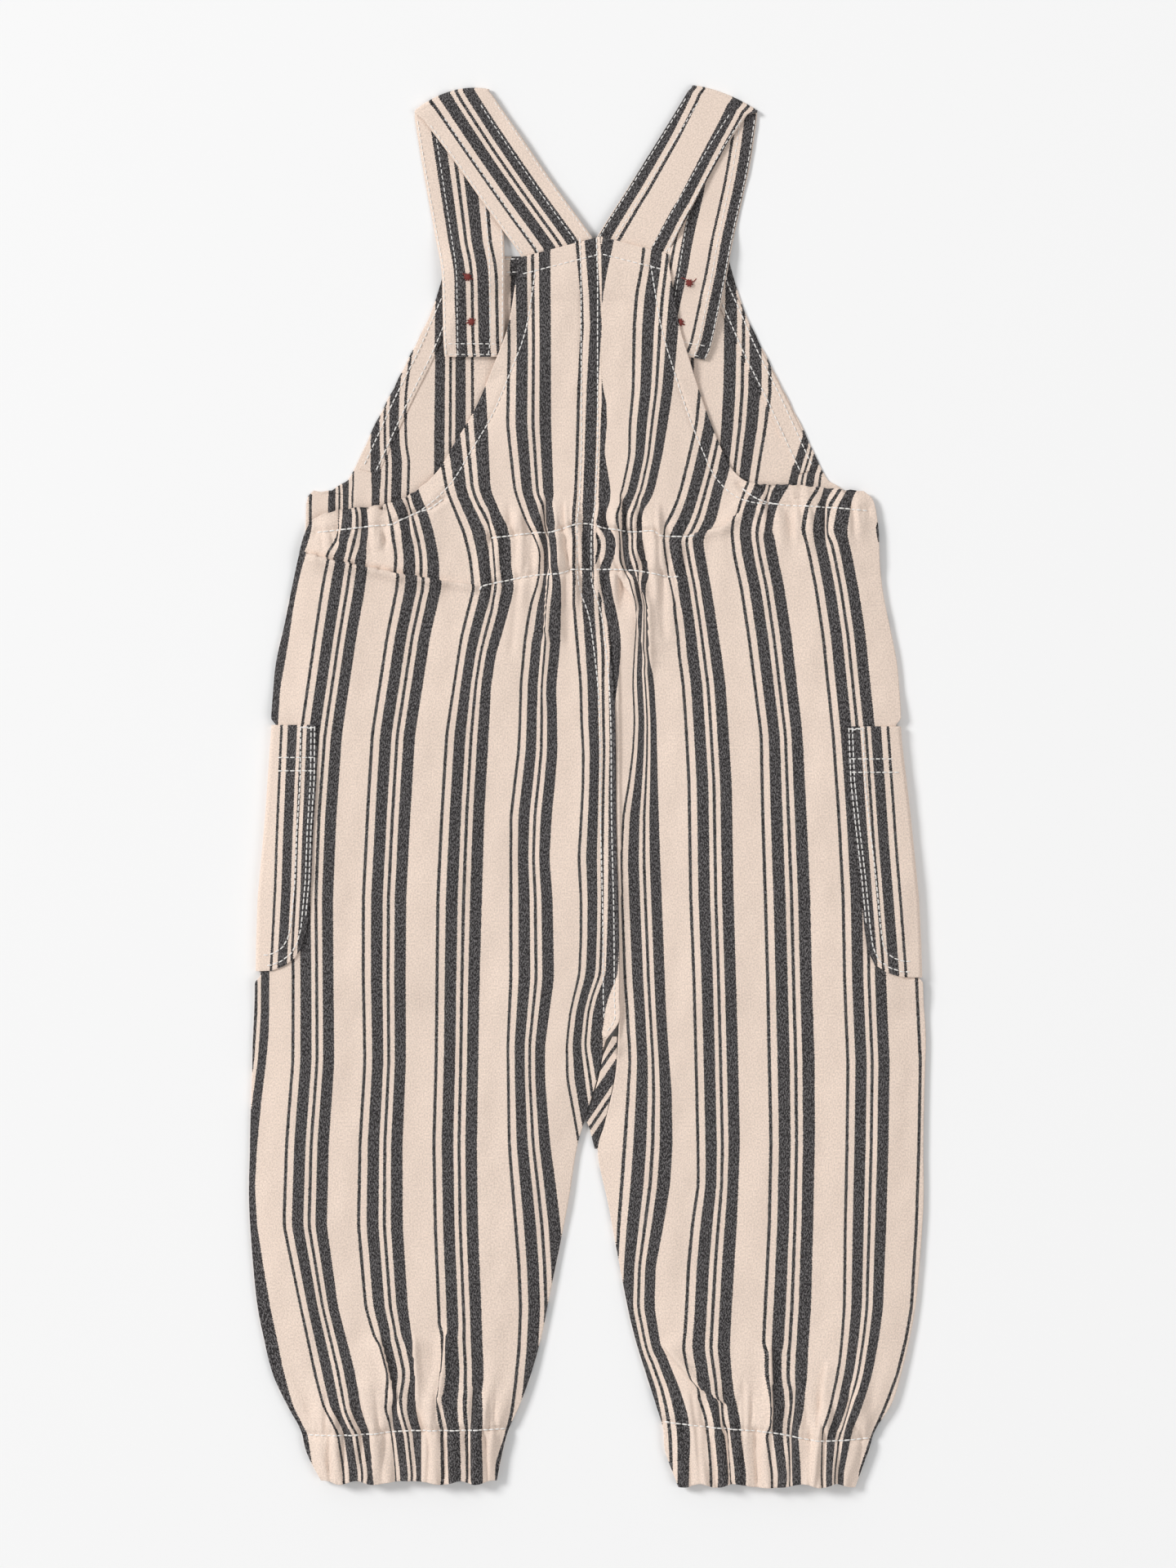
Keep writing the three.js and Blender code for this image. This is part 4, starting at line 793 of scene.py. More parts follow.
def cloth_material(name, shade=1.0):
    """Striped cotton: stripes, melange flecks, weave grain and bump, all on the cloth coordinate; a shade
    below 1 darkens it all as painted shade.
    """
    material = bpy.data.materials.new(name)
    material.use_nodes = True
    tree = material.node_tree
    tree.nodes.clear()
    uv = node(tree, "ShaderNodeUVMap", uv_map="cloth").outputs[0]
    parts = node(tree, "ShaderNodeSeparateXYZ", {0: uv})
    u, v = parts.outputs[0], parts.outputs[1]
    wide, thin = stripe_mask(tree, u, v)
    # flecks on the two diagonals of the twill
    flecks = []
    for turn in (0.75, -0.75):
        turned = node(tree, "ShaderNodeMapping",
                      {"Vector": uv, "Rotation": (0, 0, turn), "Scale": (2300, 900, 1)})
        noise = node(tree, "ShaderNodeTexNoise", {"Vector": turned.outputs[0], "Scale": 1.0, "Detail": 1.5},
                     noise_dimensions="2D")
        flecks.append(noise.outputs["Fac"])
    fleck = node(tree, "ShaderNodeMapRange", {0: maths(tree, "MAXIMUM", *flecks), 1: 0.53, 2: 0.68})
    dark = mixed(tree, thin, linear(CHARCOAL), linear(THIN))
    fleck_part = maths(tree, "MULTIPLY", fleck.outputs[0], 0.62)
    melange = mixed(tree, fleck_part, dark, linear(FLECK))
    # cream grain: slow warmth and fine thread noise
    slow = node(tree, "ShaderNodeTexNoise", {"Vector": uv, "Scale": 60.0, "Detail": 3.0},
                noise_dimensions="2D")
    fine_at = node(tree, "ShaderNodeMapping", {"Vector": uv, "Scale": (1500, 1150, 1)})
    fine = node(tree, "ShaderNodeTexNoise", {"Vector": fine_at.outputs[0], "Scale": 1.0, "Detail": 2.0},
                noise_dimensions="2D")
    grain = node(tree, "ShaderNodeMapRange", {0: fine.outputs["Fac"], 1: 0.28, 2: 0.72, 3: 0.84, 4: 1.10})
    warm = mixed(tree, slow.outputs["Fac"], linear(CREAM), linear([c * 0.975 for c in CREAM]))
    cream = mixed(tree, 1.0, warm, grain.outputs[0], "MULTIPLY")
    colour = mixed(tree, wide, cream, melange)
    # a shade below 1 multiplies the whole colour darker: painted shade, not a colour of the cloth
    if shade != 1.0:
        colour = mixed(tree, 1.0, colour, (shade, shade, shade, 1), "MULTIPLY")
    # weave bump: warp and weft ribs, with the flecks a little raised
    ribs = maths(tree, "ADD", maths(tree, "SINE", maths(tree, "MULTIPLY", u, 2 * np.pi / (0.62 * MM))),
                 maths(tree, "SINE", maths(tree, "MULTIPLY", v, 2 * np.pi / (0.5 * MM))))
    height = maths(tree, "ADD", maths(tree, "MULTIPLY", ribs, 0.2), fine.outputs["Fac"])
    bump = node(tree, "ShaderNodeBump", {"Height": height, "Strength": 0.35, "Distance": 0.12 * MM})
    shader = node(tree, "ShaderNodeBsdfPrincipled", {
        "Base Color": colour, "Roughness": 0.88, "Specular IOR Level": 0.25, "Sheen Weight": 0.12,
        "Sheen Roughness": 0.5, "Normal": bump.outputs[0]})
    output = node(tree, "ShaderNodeOutputMaterial")
    tree.links.new(shader.outputs[0], output.inputs[0])
    return material


CLOTH_OUT = cloth_material("striped_cotton_outside")
# the front and its facings, which lie under the back, get the same finish 2.5% darker: painted shade
CLOTH_IN_PAINTED_SHADE = cloth_material("striped_cotton_inside", shade=0.975)
print("the cloth's finish has", len(CLOTH_OUT.node_tree.nodes), "nodes")

# %% [markdown]
# Thread, buttons and floor are one colour each, with a little noise so that they don't look flat.

# %% Plain finishes


def plain_material(name, rgb, roughness, noise_scale=900.0, depth=0.05, spread=0.12):
    """One colour, more or less bright by spread, and a fine bump, on Object coordinates."""
    material = bpy.data.materials.new(name)
    material.use_nodes = True
    tree = material.node_tree
    tree.nodes.clear()
    place = node(tree, "ShaderNodeTexCoord").outputs["Object"]
    noise = node(tree, "ShaderNodeTexNoise", {"Vector": place, "Scale": noise_scale, "Detail": 2.0})
    colour = mixed(tree, noise.outputs["Fac"], linear([c * (1 - spread) for c in rgb]),
                   linear([min(255, c * (1 + spread)) for c in rgb]))
    bump = node(tree, "ShaderNodeBump",
                {"Height": noise.outputs["Fac"], "Strength": 0.4, "Distance": depth * MM})
    shader = node(tree, "ShaderNodeBsdfPrincipled",
                  {"Base Color": colour, "Roughness": roughness, "Normal": bump.outputs[0]})
    output = node(tree, "ShaderNodeOutputMaterial")
    tree.links.new(shader.outputs[0], output.inputs[0])
    return material


THREAD = plain_material("cream_thread", (248, 240, 230), 0.7)
KNOT_THREAD = plain_material("dark_red_thread", (122, 44, 38), 0.7)
HORN = plain_material("brown_button", (74, 44, 34), 0.35, noise_scale=160.0, spread=0.3)
FLOOR = plain_material("pale_floor", (246, 246, 246), 0.9, noise_scale=2.0, depth=0.0, spread=0.0)


def dress(piece, material, slot, *nodes):
    """Give a piece its material and body, and say which solids it stands for; slot is not used."""
    piece.data.materials.append(material)
    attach(piece, "root")
    if nodes:
        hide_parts(*nodes)
    return piece


# %% [markdown]
# Topstitching runs beside every seam and hem, so its rows are lines at a set distance from an
# edge. The rows over the elastics wander, and their points are charted.

# %% Stitch rows of the back, as lines of points
WAIST_ROW_1 = {
    "left": [(-46, 115.5), (-37, 116.5), (-24.6, 118), (-16.5, 118.5), (-4.3, 122.2), (3.6, 121.6)],
    "right": [(3.8, 121.5), (6.9, 120.3), (14.2, 119.2), (20.8, 118.4), (30.4, 118.8), (35, 116.5),
              (47, 116.3), (52, 117.2)],
}
WAIST_ROW_2 = {
    "left": [(-51, 90.3), (-49, 93), (-37, 95.7), (-24.6, 98), (-13.5, 98.8), (-7, 100.7), (3.6, 100.7)],
    "right": [(3.8, 100.7), (11.5, 100.7), (20.8, 100.3), (28.5, 99.2), (39.6, 97.2), (44.3, 98.4)],
}
CASING_ROW = {
    "left": [(-128, 118.2), (-118.6, 119.2), (-111.7, 119.9), (-102, 121.1), (-92.4, 121.9), (-89, 123.6),
             (-79.7, 127.8), (-74.3, 129.5), (-67.4, 134.6)],
    "right": [(132, 128.4), (118, 129.6), (105, 130.4), (92.4, 131), (82, 133), (75, 137), (71, 141)],
}


def inset_line(rows, edge, inset, start, stop, count=160):
    """A line that runs inset mm inside the inner or outer edge, between two section numbers."""
    sections = curve(rows, np.linspace(start, stop, count))
    inner, outer = sections[:, :2], sections[:, 2:]
    base, other = (inner, outer) if edge == "in" else (outer, inner)
    along = np.gradient(base, axis=0)
    normal = np.stack([-along[:, 1], along[:, 0]], 1)
    normal /= np.linalg.norm(normal, axis=1, keepdims=True)
    side = np.sign(np.sum(normal * (other - base), axis=1, keepdims=True))
    return base + normal * side * np.broadcast_to(inset, (count,))[:, None]


def back_rows(side):
    """All sections of one half of the back."""
    return np.array(BACK_BIB[side] + BODY[side], float)


def cuff_row(side):
    """The stitch row over the cuff's elastic, through five charted heights."""
    y = {"left": (-303.6, -304.2, -304.4, -306.4, -306.6), "right": (-300.4, -303, -305, -309, -308)}[side]
    s = np.linspace(0.01, 0.99, 5)
    inner, outer = body_ends(side, np.array(y))
    return np.stack([inner + (outer - inner) * s, y], 1)


def back_stitches(side):
    """Every stitch row of one half of the back: armhole, casing, waist and cuff, and the seam's two."""
    rows = back_rows(side)
    fine = lambda line: curve(np.array(line), np.linspace(0, len(line) - 1, 120))
    made = {
        "armhole": inset_line(rows, "out", 8.6, 0.35, 7.6),
        "waist_1": fine(WAIST_ROW_1[side]),
        "waist_2": fine(WAIST_ROW_2[side]),
        "cuff": fine(cuff_row(side)),
        "casing": fine(CASING_ROW[side]),
    }
    part = np.linspace(0.02, 0.97, 60)[:, None]
    made["bib_top"] = rows[0, :2] + (rows[0, 2:] - rows[0, :2]) * part - (0, 7.8)
    if side == "left":
        inset = np.interp(np.linspace(0, 22.3, 420), [0, 8, 12, 16, 22.3], [9.8, 9.4, 8.6, 7.2, 7.2])
        made["seam_far"] = inset_line(rows, "in", inset, 0.0, 22.3, 420)
        made["seam_near"] = inset_line(rows, "in", 2.0, 0.0, 22.7, 420)
    return made


# %% [markdown]
# Stitch rows pull the cloth down into grooves, and a fine pucker runs along each row. The seam's
# left side lies over its right side.

# %% Outer face of the back


def grooves(rows, x, y):
    """A valley along each row, e^-(d/width)^2, deep over an elastic, with a fine pucker beside it."""
    total = np.zeros(np.shape(x))
    for k, (name, line) in enumerate(rows.items()):
        depth, width = (1.3, 1.4) if name in ELASTIC_ROWS else (0.45, 1.1)
        d = distance(line[:: max(1, len(line) // 60)], x, y)
        pucker = 0.14 * np.sin(2 * np.pi * (y + 0.4 * x) / 5.3 + k) * np.exp(-((d / 4) ** 2))
        total += -depth * np.exp(-((d / width) ** 2)) + pucker
    return total


def seam_step(side, x, y):
    """The left half's edge stands up over the right half's along the seam, down to the crotch."""
    off = np.abs(x - body_ends(side, y)[0])
    near = window(y, -108, 66, 14)
    return near * np.where(side == "left", 0.7 * (1 - ease(off / 5)), -0.45 * (1 - ease(off / 8)))


def held_down(y):
    """How much of the waist's puffs is left where the elastic's rows hold them."""
    return np.prod([1 - 0.4 * np.exp(-(((y - row) / 2.2) ** 2)) for row in WAIST_ROWS], axis=0)


BACK_STITCHES = {side: back_stitches(side) for side in ("left", "right")}
ELASTIC_ROWS = ("waist_1", "waist_2", "cuff", "casing")


def back_top(x, y, side):
    """The back's outer face, with its folds, pleats, grooves and slow swell."""
    waist = puffs(WAIST_PUFFS, x, y) * held_down(y)
    raised = np.maximum(np.maximum(waist, puffs(CASING_PUFFS, x, y)), folds(FOLDS, x, y))
    cuffs = cuff_ridge(side, x, y, 1.2, 0.22)
    away = np.clip(edge_distance(side, x, y) / 8, 0, 1)
    slow = 0.42 * swell(x, y, 55, 3) + 0.24 * swell(x, 0.6 * y, 21, 8) + 0.08 * swell(x, 0.7 * y, 9, 14)
    _, pleats = pleat_parts(x, y)
    fine = (slow + 2.7 * pleats) * (0.25 + 0.75 * away) + grooves(BACK_STITCHES[side], x, y)
    small = gathers(x, y) * (0.35 + 0.65 * away) + seam_step(side, x, y)
    top = back_base(x, y, side) + CLOTH + raised + cuffs + fine + small
    return np.maximum(top, front_top(x, y, side) + 0.9)


# %% [markdown]
# The two halves of the back are most of what the photo shows. The grid is dense near the edges,
# where the hems turn. At a tuck one layer hangs over the other, which a height alone can't give,
# so the points of the lip are moved over the valley and leave a dark gap under it.

# %% Back halves
BACK_GRID = (500, 176)
FRONT_GRID = (260, 62)


def panel_grid(rows, count, columns, side):
    """Points of a panel: count sections, each with columns points that crowd at both ends."""
    sections = even(rows, count)
    out = -1 if side == "left" else 1
    sections[:, 0] += out * 0.25
    sections[:, 2] -= out * (0.45 + pocket_inset(sections[:, 3]))
    k = np.linspace(0, 1, columns)
    s = 0.65 * k + 0.35 * (0.5 - 0.5 * np.cos(np.pi * k))
    x = sections[:, :1] + (sections[:, 2:3] - sections[:, :1]) * s
    y = sections[:, 1:2] + (sections[:, 3:4] - sections[:, 1:2]) * s
    return x, y + scallop(x, y)


def overhang(x, y, part=0.8, reach=1.1):
    """Move each pleat's lip over its valley, part of its height at the line and e^-(d/reach) away."""
    move_x, move_y = np.zeros(np.shape(x)), np.zeros(np.shape(x))
    for x1, y1, x2, y2, hide, sharp, _, high, lip in zip(*PLEATS.values()):
        if y2 > y1:
            x1, y1, x2, y2 = x2, y2, x1, y1
        off, along, long = along_line(x, y, x1, y1, x2, y2)
        keep = ease((along + 2) / 5) * ease((long + 2 - along) / 5) * (off * lip > 0)
        move = -lip * part * high * keep * np.exp(-np.abs(off) / reach)
        move_x, move_y = move_x - move * (y2 - y1) / long, move_y + move * (x2 - x1) / long
    return x + move_x, y + move_y


def back_panel(side):
    """The back's face over its grid, with its threads, hemmed all round."""
    x, y = crowd(*panel_grid(back_rows(side), *BACK_GRID, side))
    shift, _ = pleat_parts(x, y)
    u = stripe_u(side, x, y) + shift
    z = back_top(x, y, side)
    v = y
    x, y = overhang(x, y)
    return rolled(np.stack([x, y, z, u, v], -1), ("left", "right", "top", "bottom"))


for side in ("left", "right"):
    piece = grid_mesh(f"back_{side}_cloth", back_panel(side))
    dress(piece, CLOTH_OUT, "striped_cotton", f"back_{side}")

# %% [markdown]
# The front shows its inside beside the back's bib and straps, and its outside from below. It is
# the same cut, one layer, lying flat on the floor.

# %% Front halves
FRONT_THREADS = [
    (5 * REPEAT, [(250, -130), (120, -130)]),
    (3 * REPEAT + 20.8, [(250, -102), (120, -102.2)]),
    (3 * REPEAT, [(215, -81), (200, -82.6), (185, -84.6), (170, -85.3), (160, -85), (152, -83.6),
                  (120, -84.6)]),
    (2 * REPEAT + 20.8, [(250, -71), (215, -71.8), (120, -72.8)]),
    (2 * REPEAT, [(250, -54), (170, -53.6), (120, -54)]),
    (REPEAT + 20.8, [(250, -36), (120, -37)]),
    (REPEAT, [(250, -18), (120, -19)]),
    (0, [(250, 15.5), (120, 16)]),
    (-14, [(250, 29), (120, 30)]),
    (-REPEAT, [(250, 50), (120, 50)]),
    (-14 - REPEAT, [(250, 64.5), (200, 64.2), (185, 63.8), (169, 63), (150, 61.5), (120, 60)]),
    (-2 * REPEAT, [(215, 86), (185, 86.2), (169, 84.6), (146, 80.6), (120, 77)]),
    (-14 - 2 * REPEAT, [(215, 106), (165, 101.4), (153, 97.6), (142, 94.8), (120, 90)]),
    (-3 * REPEAT, [(215, 124), (165, 117), (145, 110), (120, 108)]),
    (-4 * REPEAT, [(215, 156), (120, 142)]),
]
FRONT_PLEATS = table(PLEAT, [
    (-101.5, 140, -101.5, 126, 3.0, 0.9, 5, 0.5, 1), (-113, 138, -113, 124, 2.5, 0.9, 5, 0.5, 0),
    (-124, 136, -124, 122, 2.5, 0.9, 5, 0.5, 0), (103, 139, 103, 125, 3.0, 0.9, 5, 0.5, 0),
    (116, 138, 116, 124, 2.5, 0.9, 5, 0.5, 0),
])


def front_u(x, y):
    """The front's stripes are seen from inside, so their threads run the other way."""
    lines, threads = [], []
    for thread, rows in FRONT_THREADS:
        rows = np.array(rows, float)[::-1]
        lines.append(np.interp(y, rows[:, 0], rows[:, 1]))
        threads.append(thread)
    u = threads[0] - (x - lines[0])
    for k in range(len(lines) - 1):
        part = (x - lines[k]) / (lines[k + 1] - lines[k])
        u = np.where(x > lines[k], threads[k] + np.minimum(part, 1) * (threads[k + 1] - threads[k]), u)
    return np.where(x > lines[-1], threads[-1] - (x - lines[-1]), u)


def front_rows(side):
    """All sections of one half of the front."""
    out = -1 if side == "left" else 1
    bib = [(a, b, out * c, d) for a, b, c, d in FRONT_BIB]
    return np.array(bib + BODY[side], float)


def front_face(x, y, side):
    """The front's upper face, with a slow swell where the bib shows."""
    bib = ease((y - 118) / 10)
    return front_top(x, y, side) - 0.2 + bib * (0.18 * swell(x, y, 48, 12) + 0.12 * swell(x, y, 17, 5))


def front_grid(side):
    """The front's upper face over its grid, with its threads, hemmed all round."""
    x, y = panel_grid(front_rows(side), *FRONT_GRID, side)
    shift, height = pleat_parts(x, y, FRONT_PLEATS)
    z = front_face(x, y, side) + 0.8 * height
    u = front_u(x, y) - shift
    return rolled(np.stack([x, y, np.maximum(z, 0.9), u, y], -1), ("left", "right", "top", "bottom"))


for side in ("left", "right"):
    piece = grid_mesh(f"front_{side}_cloth", front_grid(side))
    # the front wears the darker copy of the finish, which is painted shade
    dress(piece, CLOTH_IN_PAINTED_SHADE, "striped_cotton_inside", f"front_{side}")

# %% [markdown]
# A facing about 9 mm wide is turned to the inside of the front's bib along its armholes and top.
# It is the same cloth turned back, so its stripes run on from the front's beside it.

# %% Facings
FACING_PATH = [
    (107.6, 148.5, 99, 146), (101, 164.5, 92.5, 160), (92, 183.5, 83.5, 179.5), (81, 205, 72.8, 201),
    (72.6, 223.5, 64.2, 220.5), (66.4, 236.5, 58.6, 233), (65, 247, 57, 239.5), (60, 247, 55, 239.5),
    (35, 247, 35, 239.5), (FRONT_CENTRE, 247, FRONT_CENTRE, 239.5),
]


def facing_grid(side):
    """A narrow strip on the front's face, along the armhole and the top."""
    out = -1 if side == "left" else 1
    rows = np.array(FACING_PATH, float) * (out, 1, out, 1)
    rows[-1, [0, 2]] = FRONT_CENTRE + out * 0.4
    sections = even(rows, 190)
    s = np.linspace(0, 1, 13)
    x = sections[:, :1] + (sections[:, 2:3] - sections[:, :1]) * s
    y = sections[:, 1:2] + (sections[:, 3:4] - sections[:, 1:2]) * s
    z = front_face(x, y, side) + 0.62 + 0.06 * swell(x, y, 12, 31)
    grid = np.stack([x, y, z, front_u(x, y) + 0.4 * out, y], -1)
    return rolled(grid, ("left", "right", "top"), radius=0.3, tuck=2.0)


for side in ("left", "right"):
    piece = grid_mesh(f"front_facing_{side}_cloth", facing_grid(side))
    # the facings wear the darker copy of the finish, which is painted shade
    dress(piece, CLOTH_IN_PAINTED_SHADE, "striped_cotton_inside", f"front_facing_{side}")

# %% [markdown]
# A strap is a flat band of double cloth, 32 mm wide, stitched along both edges. It leaves the
# back, turns over at the shoulder in a slanted fold, and runs down inside the front's bib. It is
# a closed band: its outline across is a thin rounded bar, carried along the strap.

# %% Straps
# each row of a run is left_x, left_y, right_x, right_y, bow; a face is (distance across, thread)
STRAPS = {
    "left": {
        "lower": [(-67.5, 201, -41, 201, 0), (-68, 208, -39.5, 208, 0), (-68.4, 225, -39.3, 225, 0),
                  (-69, 242, -39.2, 242, 0), (-72, 258, -39.6, 258, 0), (-78, 291, -42, 294, 0),
                  (-81.6, 313.2, -45.9, 323.4, 1)],
        "fold": (-81.6, 316.6, -46.6, 326.6, 4.2),
        "upper": [(-77.5, 312.5, -45, 324.2, 2), (-63, 293, -32, 305.5, 0), (-47, 270, -15.5, 281.5, 0),
                  (-34, 252, 0, 260, 0), (-31.4, 248, 2.4, 255.5, 0), (-27.5, 241, 3.2, 249, 0)],
        "face": [(0, 26.8), (32, -5.8)],
        "back": [(-6.6, 1.07)] * 6,
    },
    "right": {
        "lower": [(31, 204, 55.5, 199.5, 0), (31, 211, 58.4, 206.5, 0), (33.4, 225, 62, 223, 0),
                  (35.8, 240, 65.4, 240, 0), (38.2, 257, 68.6, 257, 0), (43.5, 292, 76, 290, 0),
                  (48.5, 326, 79.6, 313.4, 0.5)],
        "fold": (49, 328.6, 79.6, 316.6, 2.0),
        "upper": [(47.2, 326.2, 75, 315, 0.5), (34.5, 305.5, 63.5, 297.5, 0), (19.5, 281.5, 49.5, 272, 0),
                  (5.6, 259.5, 39.2, 252.5, 0), (4.4, 256, 36.8, 248.5, 0), (4.2, 249, 33.5, 242, 0)],
        "face": [(0, 8), (4.2, 11.7), (5.4, 13.2), (7.9, 15.4), (13.1, 20.8), (21.3, 34.8), (22.5, 36.3),
                 (26.4, 39.2), (31.4, 44.6), (32, 45.2)],
        "back": [(6.9, -1.06), (9.45, -1.08), (10.15, -1.015), (10.3, -1.0), (10.3, -1.0), (10.3, -1.0)],
    },
}


# %% [markdown]
# The band's middle is worked out first: the lower run, nine sections round the fold, and the upper
# run. Its two faces stand half the band's thickness to both sides, thinner at the stitched edges.

# %% The straps' surfaces
LOWER_COUNT, FOLD_COUNT, UPPER_COUNT = 100, 9, 72
UPPER_FROM = LOWER_COUNT + FOLD_COUNT


def strap_line(sections, s):
    """Points across each section, bowed in its middle."""
    x = sections[:, :1] + (sections[:, 2:3] - sections[:, :1]) * s
    y = sections[:, 1:2] + (sections[:, 3:4] - sections[:, 1:2]) * s + sections[:, 4:5] * 4 * s * (1 - s)
    return x, y


def strap_middle(side, s):
    """The band's middle surface, from its lower end round the fold to its end at the back."""
    plan = STRAPS[side]
    stack = []
    for part, count, under in (("lower", LOWER_COUNT, lower_run), ("fold", FOLD_COUNT, None),
                               ("upper", UPPER_COUNT, upper_run)):
        if part == "fold":
            turn = np.radians(np.linspace(-75, 75, count))
            sections = np.repeat([plan["fold"]], count, axis=0)
            radius = (STRAP + 0.6) / 2
            sections[:, [1, 3]] += radius * (np.cos(turn)[:, None] - 1)
            x, y = strap_line(sections, s)
            z = np.broadcast_to((STRAP / 2 + radius * (1 + np.sin(turn)))[:, None], x.shape)
        else:
            rows = np.array(plan[part], float)
            x, y = strap_line(curve(rows, np.linspace(0, len(rows) - 1, count)), s)
            z = under(x, y, side) + STRAP / 2
            z = z + 0.12 * swell(x, y, 26, 17) * (part == "upper") + 0.08 * swell(x, y, 14, 23)
        stack.append(np.stack([x, y, z], -1))
    return np.concatenate(stack)


def strap_grid(side):
    """A rounded bar across: one face, the right edge, the other face, and the left edge."""
    s = np.linspace(0, 1, 30)
    s = 0.8 * s + 0.2 * (0.5 - 0.5 * np.cos(np.pi * s))
    middle = strap_middle(side, s[None, :])
    along = np.gradient(middle, axis=0)
    across = np.gradient(middle, axis=1)
    normal = np.cross(across, along)
    normal /= np.linalg.norm(normal, axis=2, keepdims=True)
    width = np.linalg.norm(middle[:, -1] - middle[:, 0], axis=1)
    d = s[None, :] * np.minimum(width, 32)[:, None]
    if side == "right":
        d = d + np.maximum(32 - width, 0)[:, None] * (np.arange(len(width)) < LOWER_COUNT)[:, None]
    edge = np.minimum(d, width[:, None] - d)
    half = 0.5 * STRAP * np.minimum(1, np.sqrt(np.clip(edge / 0.7, 0.12, 1)))
    seam = np.exp(-(((edge - 1.7) / 0.6) ** 2))
    half = half - 0.14 * seam
    length = np.concatenate([[0], np.cumsum(np.linalg.norm(np.diff(middle[:, 15], axis=0), axis=1))])
    v = np.broadcast_to(length[:, None], d.shape)
    u_face = np.interp(d, *np.array(STRAPS[side]["face"], float).T)
    place = np.clip((np.arange(len(middle)) - UPPER_FROM) / (UPPER_COUNT - 1), 0, 1) * 5
    threads = np.array(STRAPS[side]["back"]).T
    at, step = (np.interp(place, np.arange(6), column)[:, None] for column in threads)
    face = np.concatenate([middle + normal * half[..., None], u_face[..., None], v[..., None]], -1)
    back = np.concatenate([middle - normal * half[..., None], (at + step * d)[..., None], v[..., None]], -1)
    ring = np.concatenate([face, back[:, ::-1]], axis=1)
    ring[..., 2] = np.maximum(ring[..., 2], 0.05)
    ends = [np.repeat(ring[k : k + 1].mean(1, keepdims=True), ring.shape[1], axis=1) for k in (0, -1)]
    ends = [np.where(np.arange(5) < 3, ends[0], ring[:1]), np.where(np.arange(5) < 3, ends[1], ring[-1:])]
    return np.concatenate([ends[0], ring, ends[1]])


for side in ("left", "right"):
    piece = grid_mesh(f"strap_{side}_cloth", strap_grid(side), closed=True)
    dress(piece, CLOTH_OUT, "striped_cotton", f"strap_{side}")

# %% [markdown]
# Each patch pocket wraps the side of the leg: a narrow flap on the back, a turn round the side,
# and a wide flap under the front. It is one sheet, worked out from the surface it lies on.

# %% Pockets
POCKET_THREADS = {
    "left": {"y": (-88, -73, -48, -22, 27), "x": (-149.9, -149.1, -147.8, -147, -144.9), "crowd": 1.22},
    "right": {"y": (-90, -71, -29, 26), "x": (150.4, 149, 145.7, 141.9), "crowd": 1.11},
}


def pocket_rows(side, count=96):
    """Heights from the pocket's top to its foot, with its free edges' x on the back and the front."""
    plan = POCKETS[side]
    y = np.linspace(plan["y"][0], plan["y"][-1], count)
    order = plan["y"][::-1]
    return y, np.interp(y, order, plan["back_x"][::-1]), np.interp(y, order, plan["front_x"][::-1])


def pocket_grid(side):
    """Across: the back flap on the back's face, a half turn at the side, the front flap on the floor."""
    out = -1 if side == "left" else 1
    y, back_x, front_x = pocket_rows(side)
    edge = body_ends(side, y)[1] - out * POCKET_INSET
    flap = np.linspace(0, 1, 34)[None, :]
    x_back = back_x[:, None] + (edge - back_x)[:, None] * flap
    y_back = np.repeat(y[:, None], 34, axis=1)
    over = back_top(x_back, y_back, side) + POCKET_CLEAR + 0.55 + 0.12 * swell(x_back, y_back, 16, 41)
    low, high = 0.35, over[:, -1]
    angle = np.radians(np.linspace(80, -80, 13))[None, :]
    x_turn = edge[:, None] + out * (POCKET_INSET - 0.4) * np.cos(angle)
    z_turn = (high[:, None] + low) / 2 + (high[:, None] - low) / 2 * np.sin(angle)
    x_front = edge[:, None] + (front_x - edge)[:, None] * np.linspace(0, 1, 26)[None, :]
    x = np.concatenate([x_back, x_turn, x_front], axis=1)
    z = np.concatenate([over, z_turn, np.full(x_front.shape, low)], axis=1)
    yy = np.repeat(y[:, None], x.shape[1], axis=1)
    step = np.hypot(np.diff(x, axis=1), np.diff(z, axis=1))
    threads = POCKET_THREADS[side]
    u_back = threads["crowd"] * (np.abs(np.interp(y, threads["y"], threads["x"]))[:, None] - np.abs(x_back))
    u_back = np.minimum(u_back, 20.6)
    u = np.concatenate([u_back, u_back[:, -1:] - np.cumsum(step[:, 33:], axis=1)], axis=1)
    grid = np.stack([x, yy, z, u, yy], -1)
    grid = grid if out > 0 else grid[:, ::-1]
    return rolled(grid, ("left", "right", "top", "bottom"), radius=0.32, tuck=2.5)


for side in ("left", "right"):
    piece = grid_mesh(f"pocket_{side}_cloth", pocket_grid(side))
    dress(piece, CLOTH_OUT, "striped_cotton", f"pocket_{side}")

# %% [markdown]
# The gusset shows as a sliver at the crotch, cut at a slant to the stripes, and turns under to
# the front there.

# %% Gusset
GUSSET = table("y left_x right_x", [
    (-119, 11.5, 13.6), (-128, 7.0, 13.7), (-138, 5.1, 12.5), (-148, 2.4, 10.4), (-157, -0.6, 8.4),
    (-163, 1.8, 7.1), (-172, 4.0, 5.2),
])


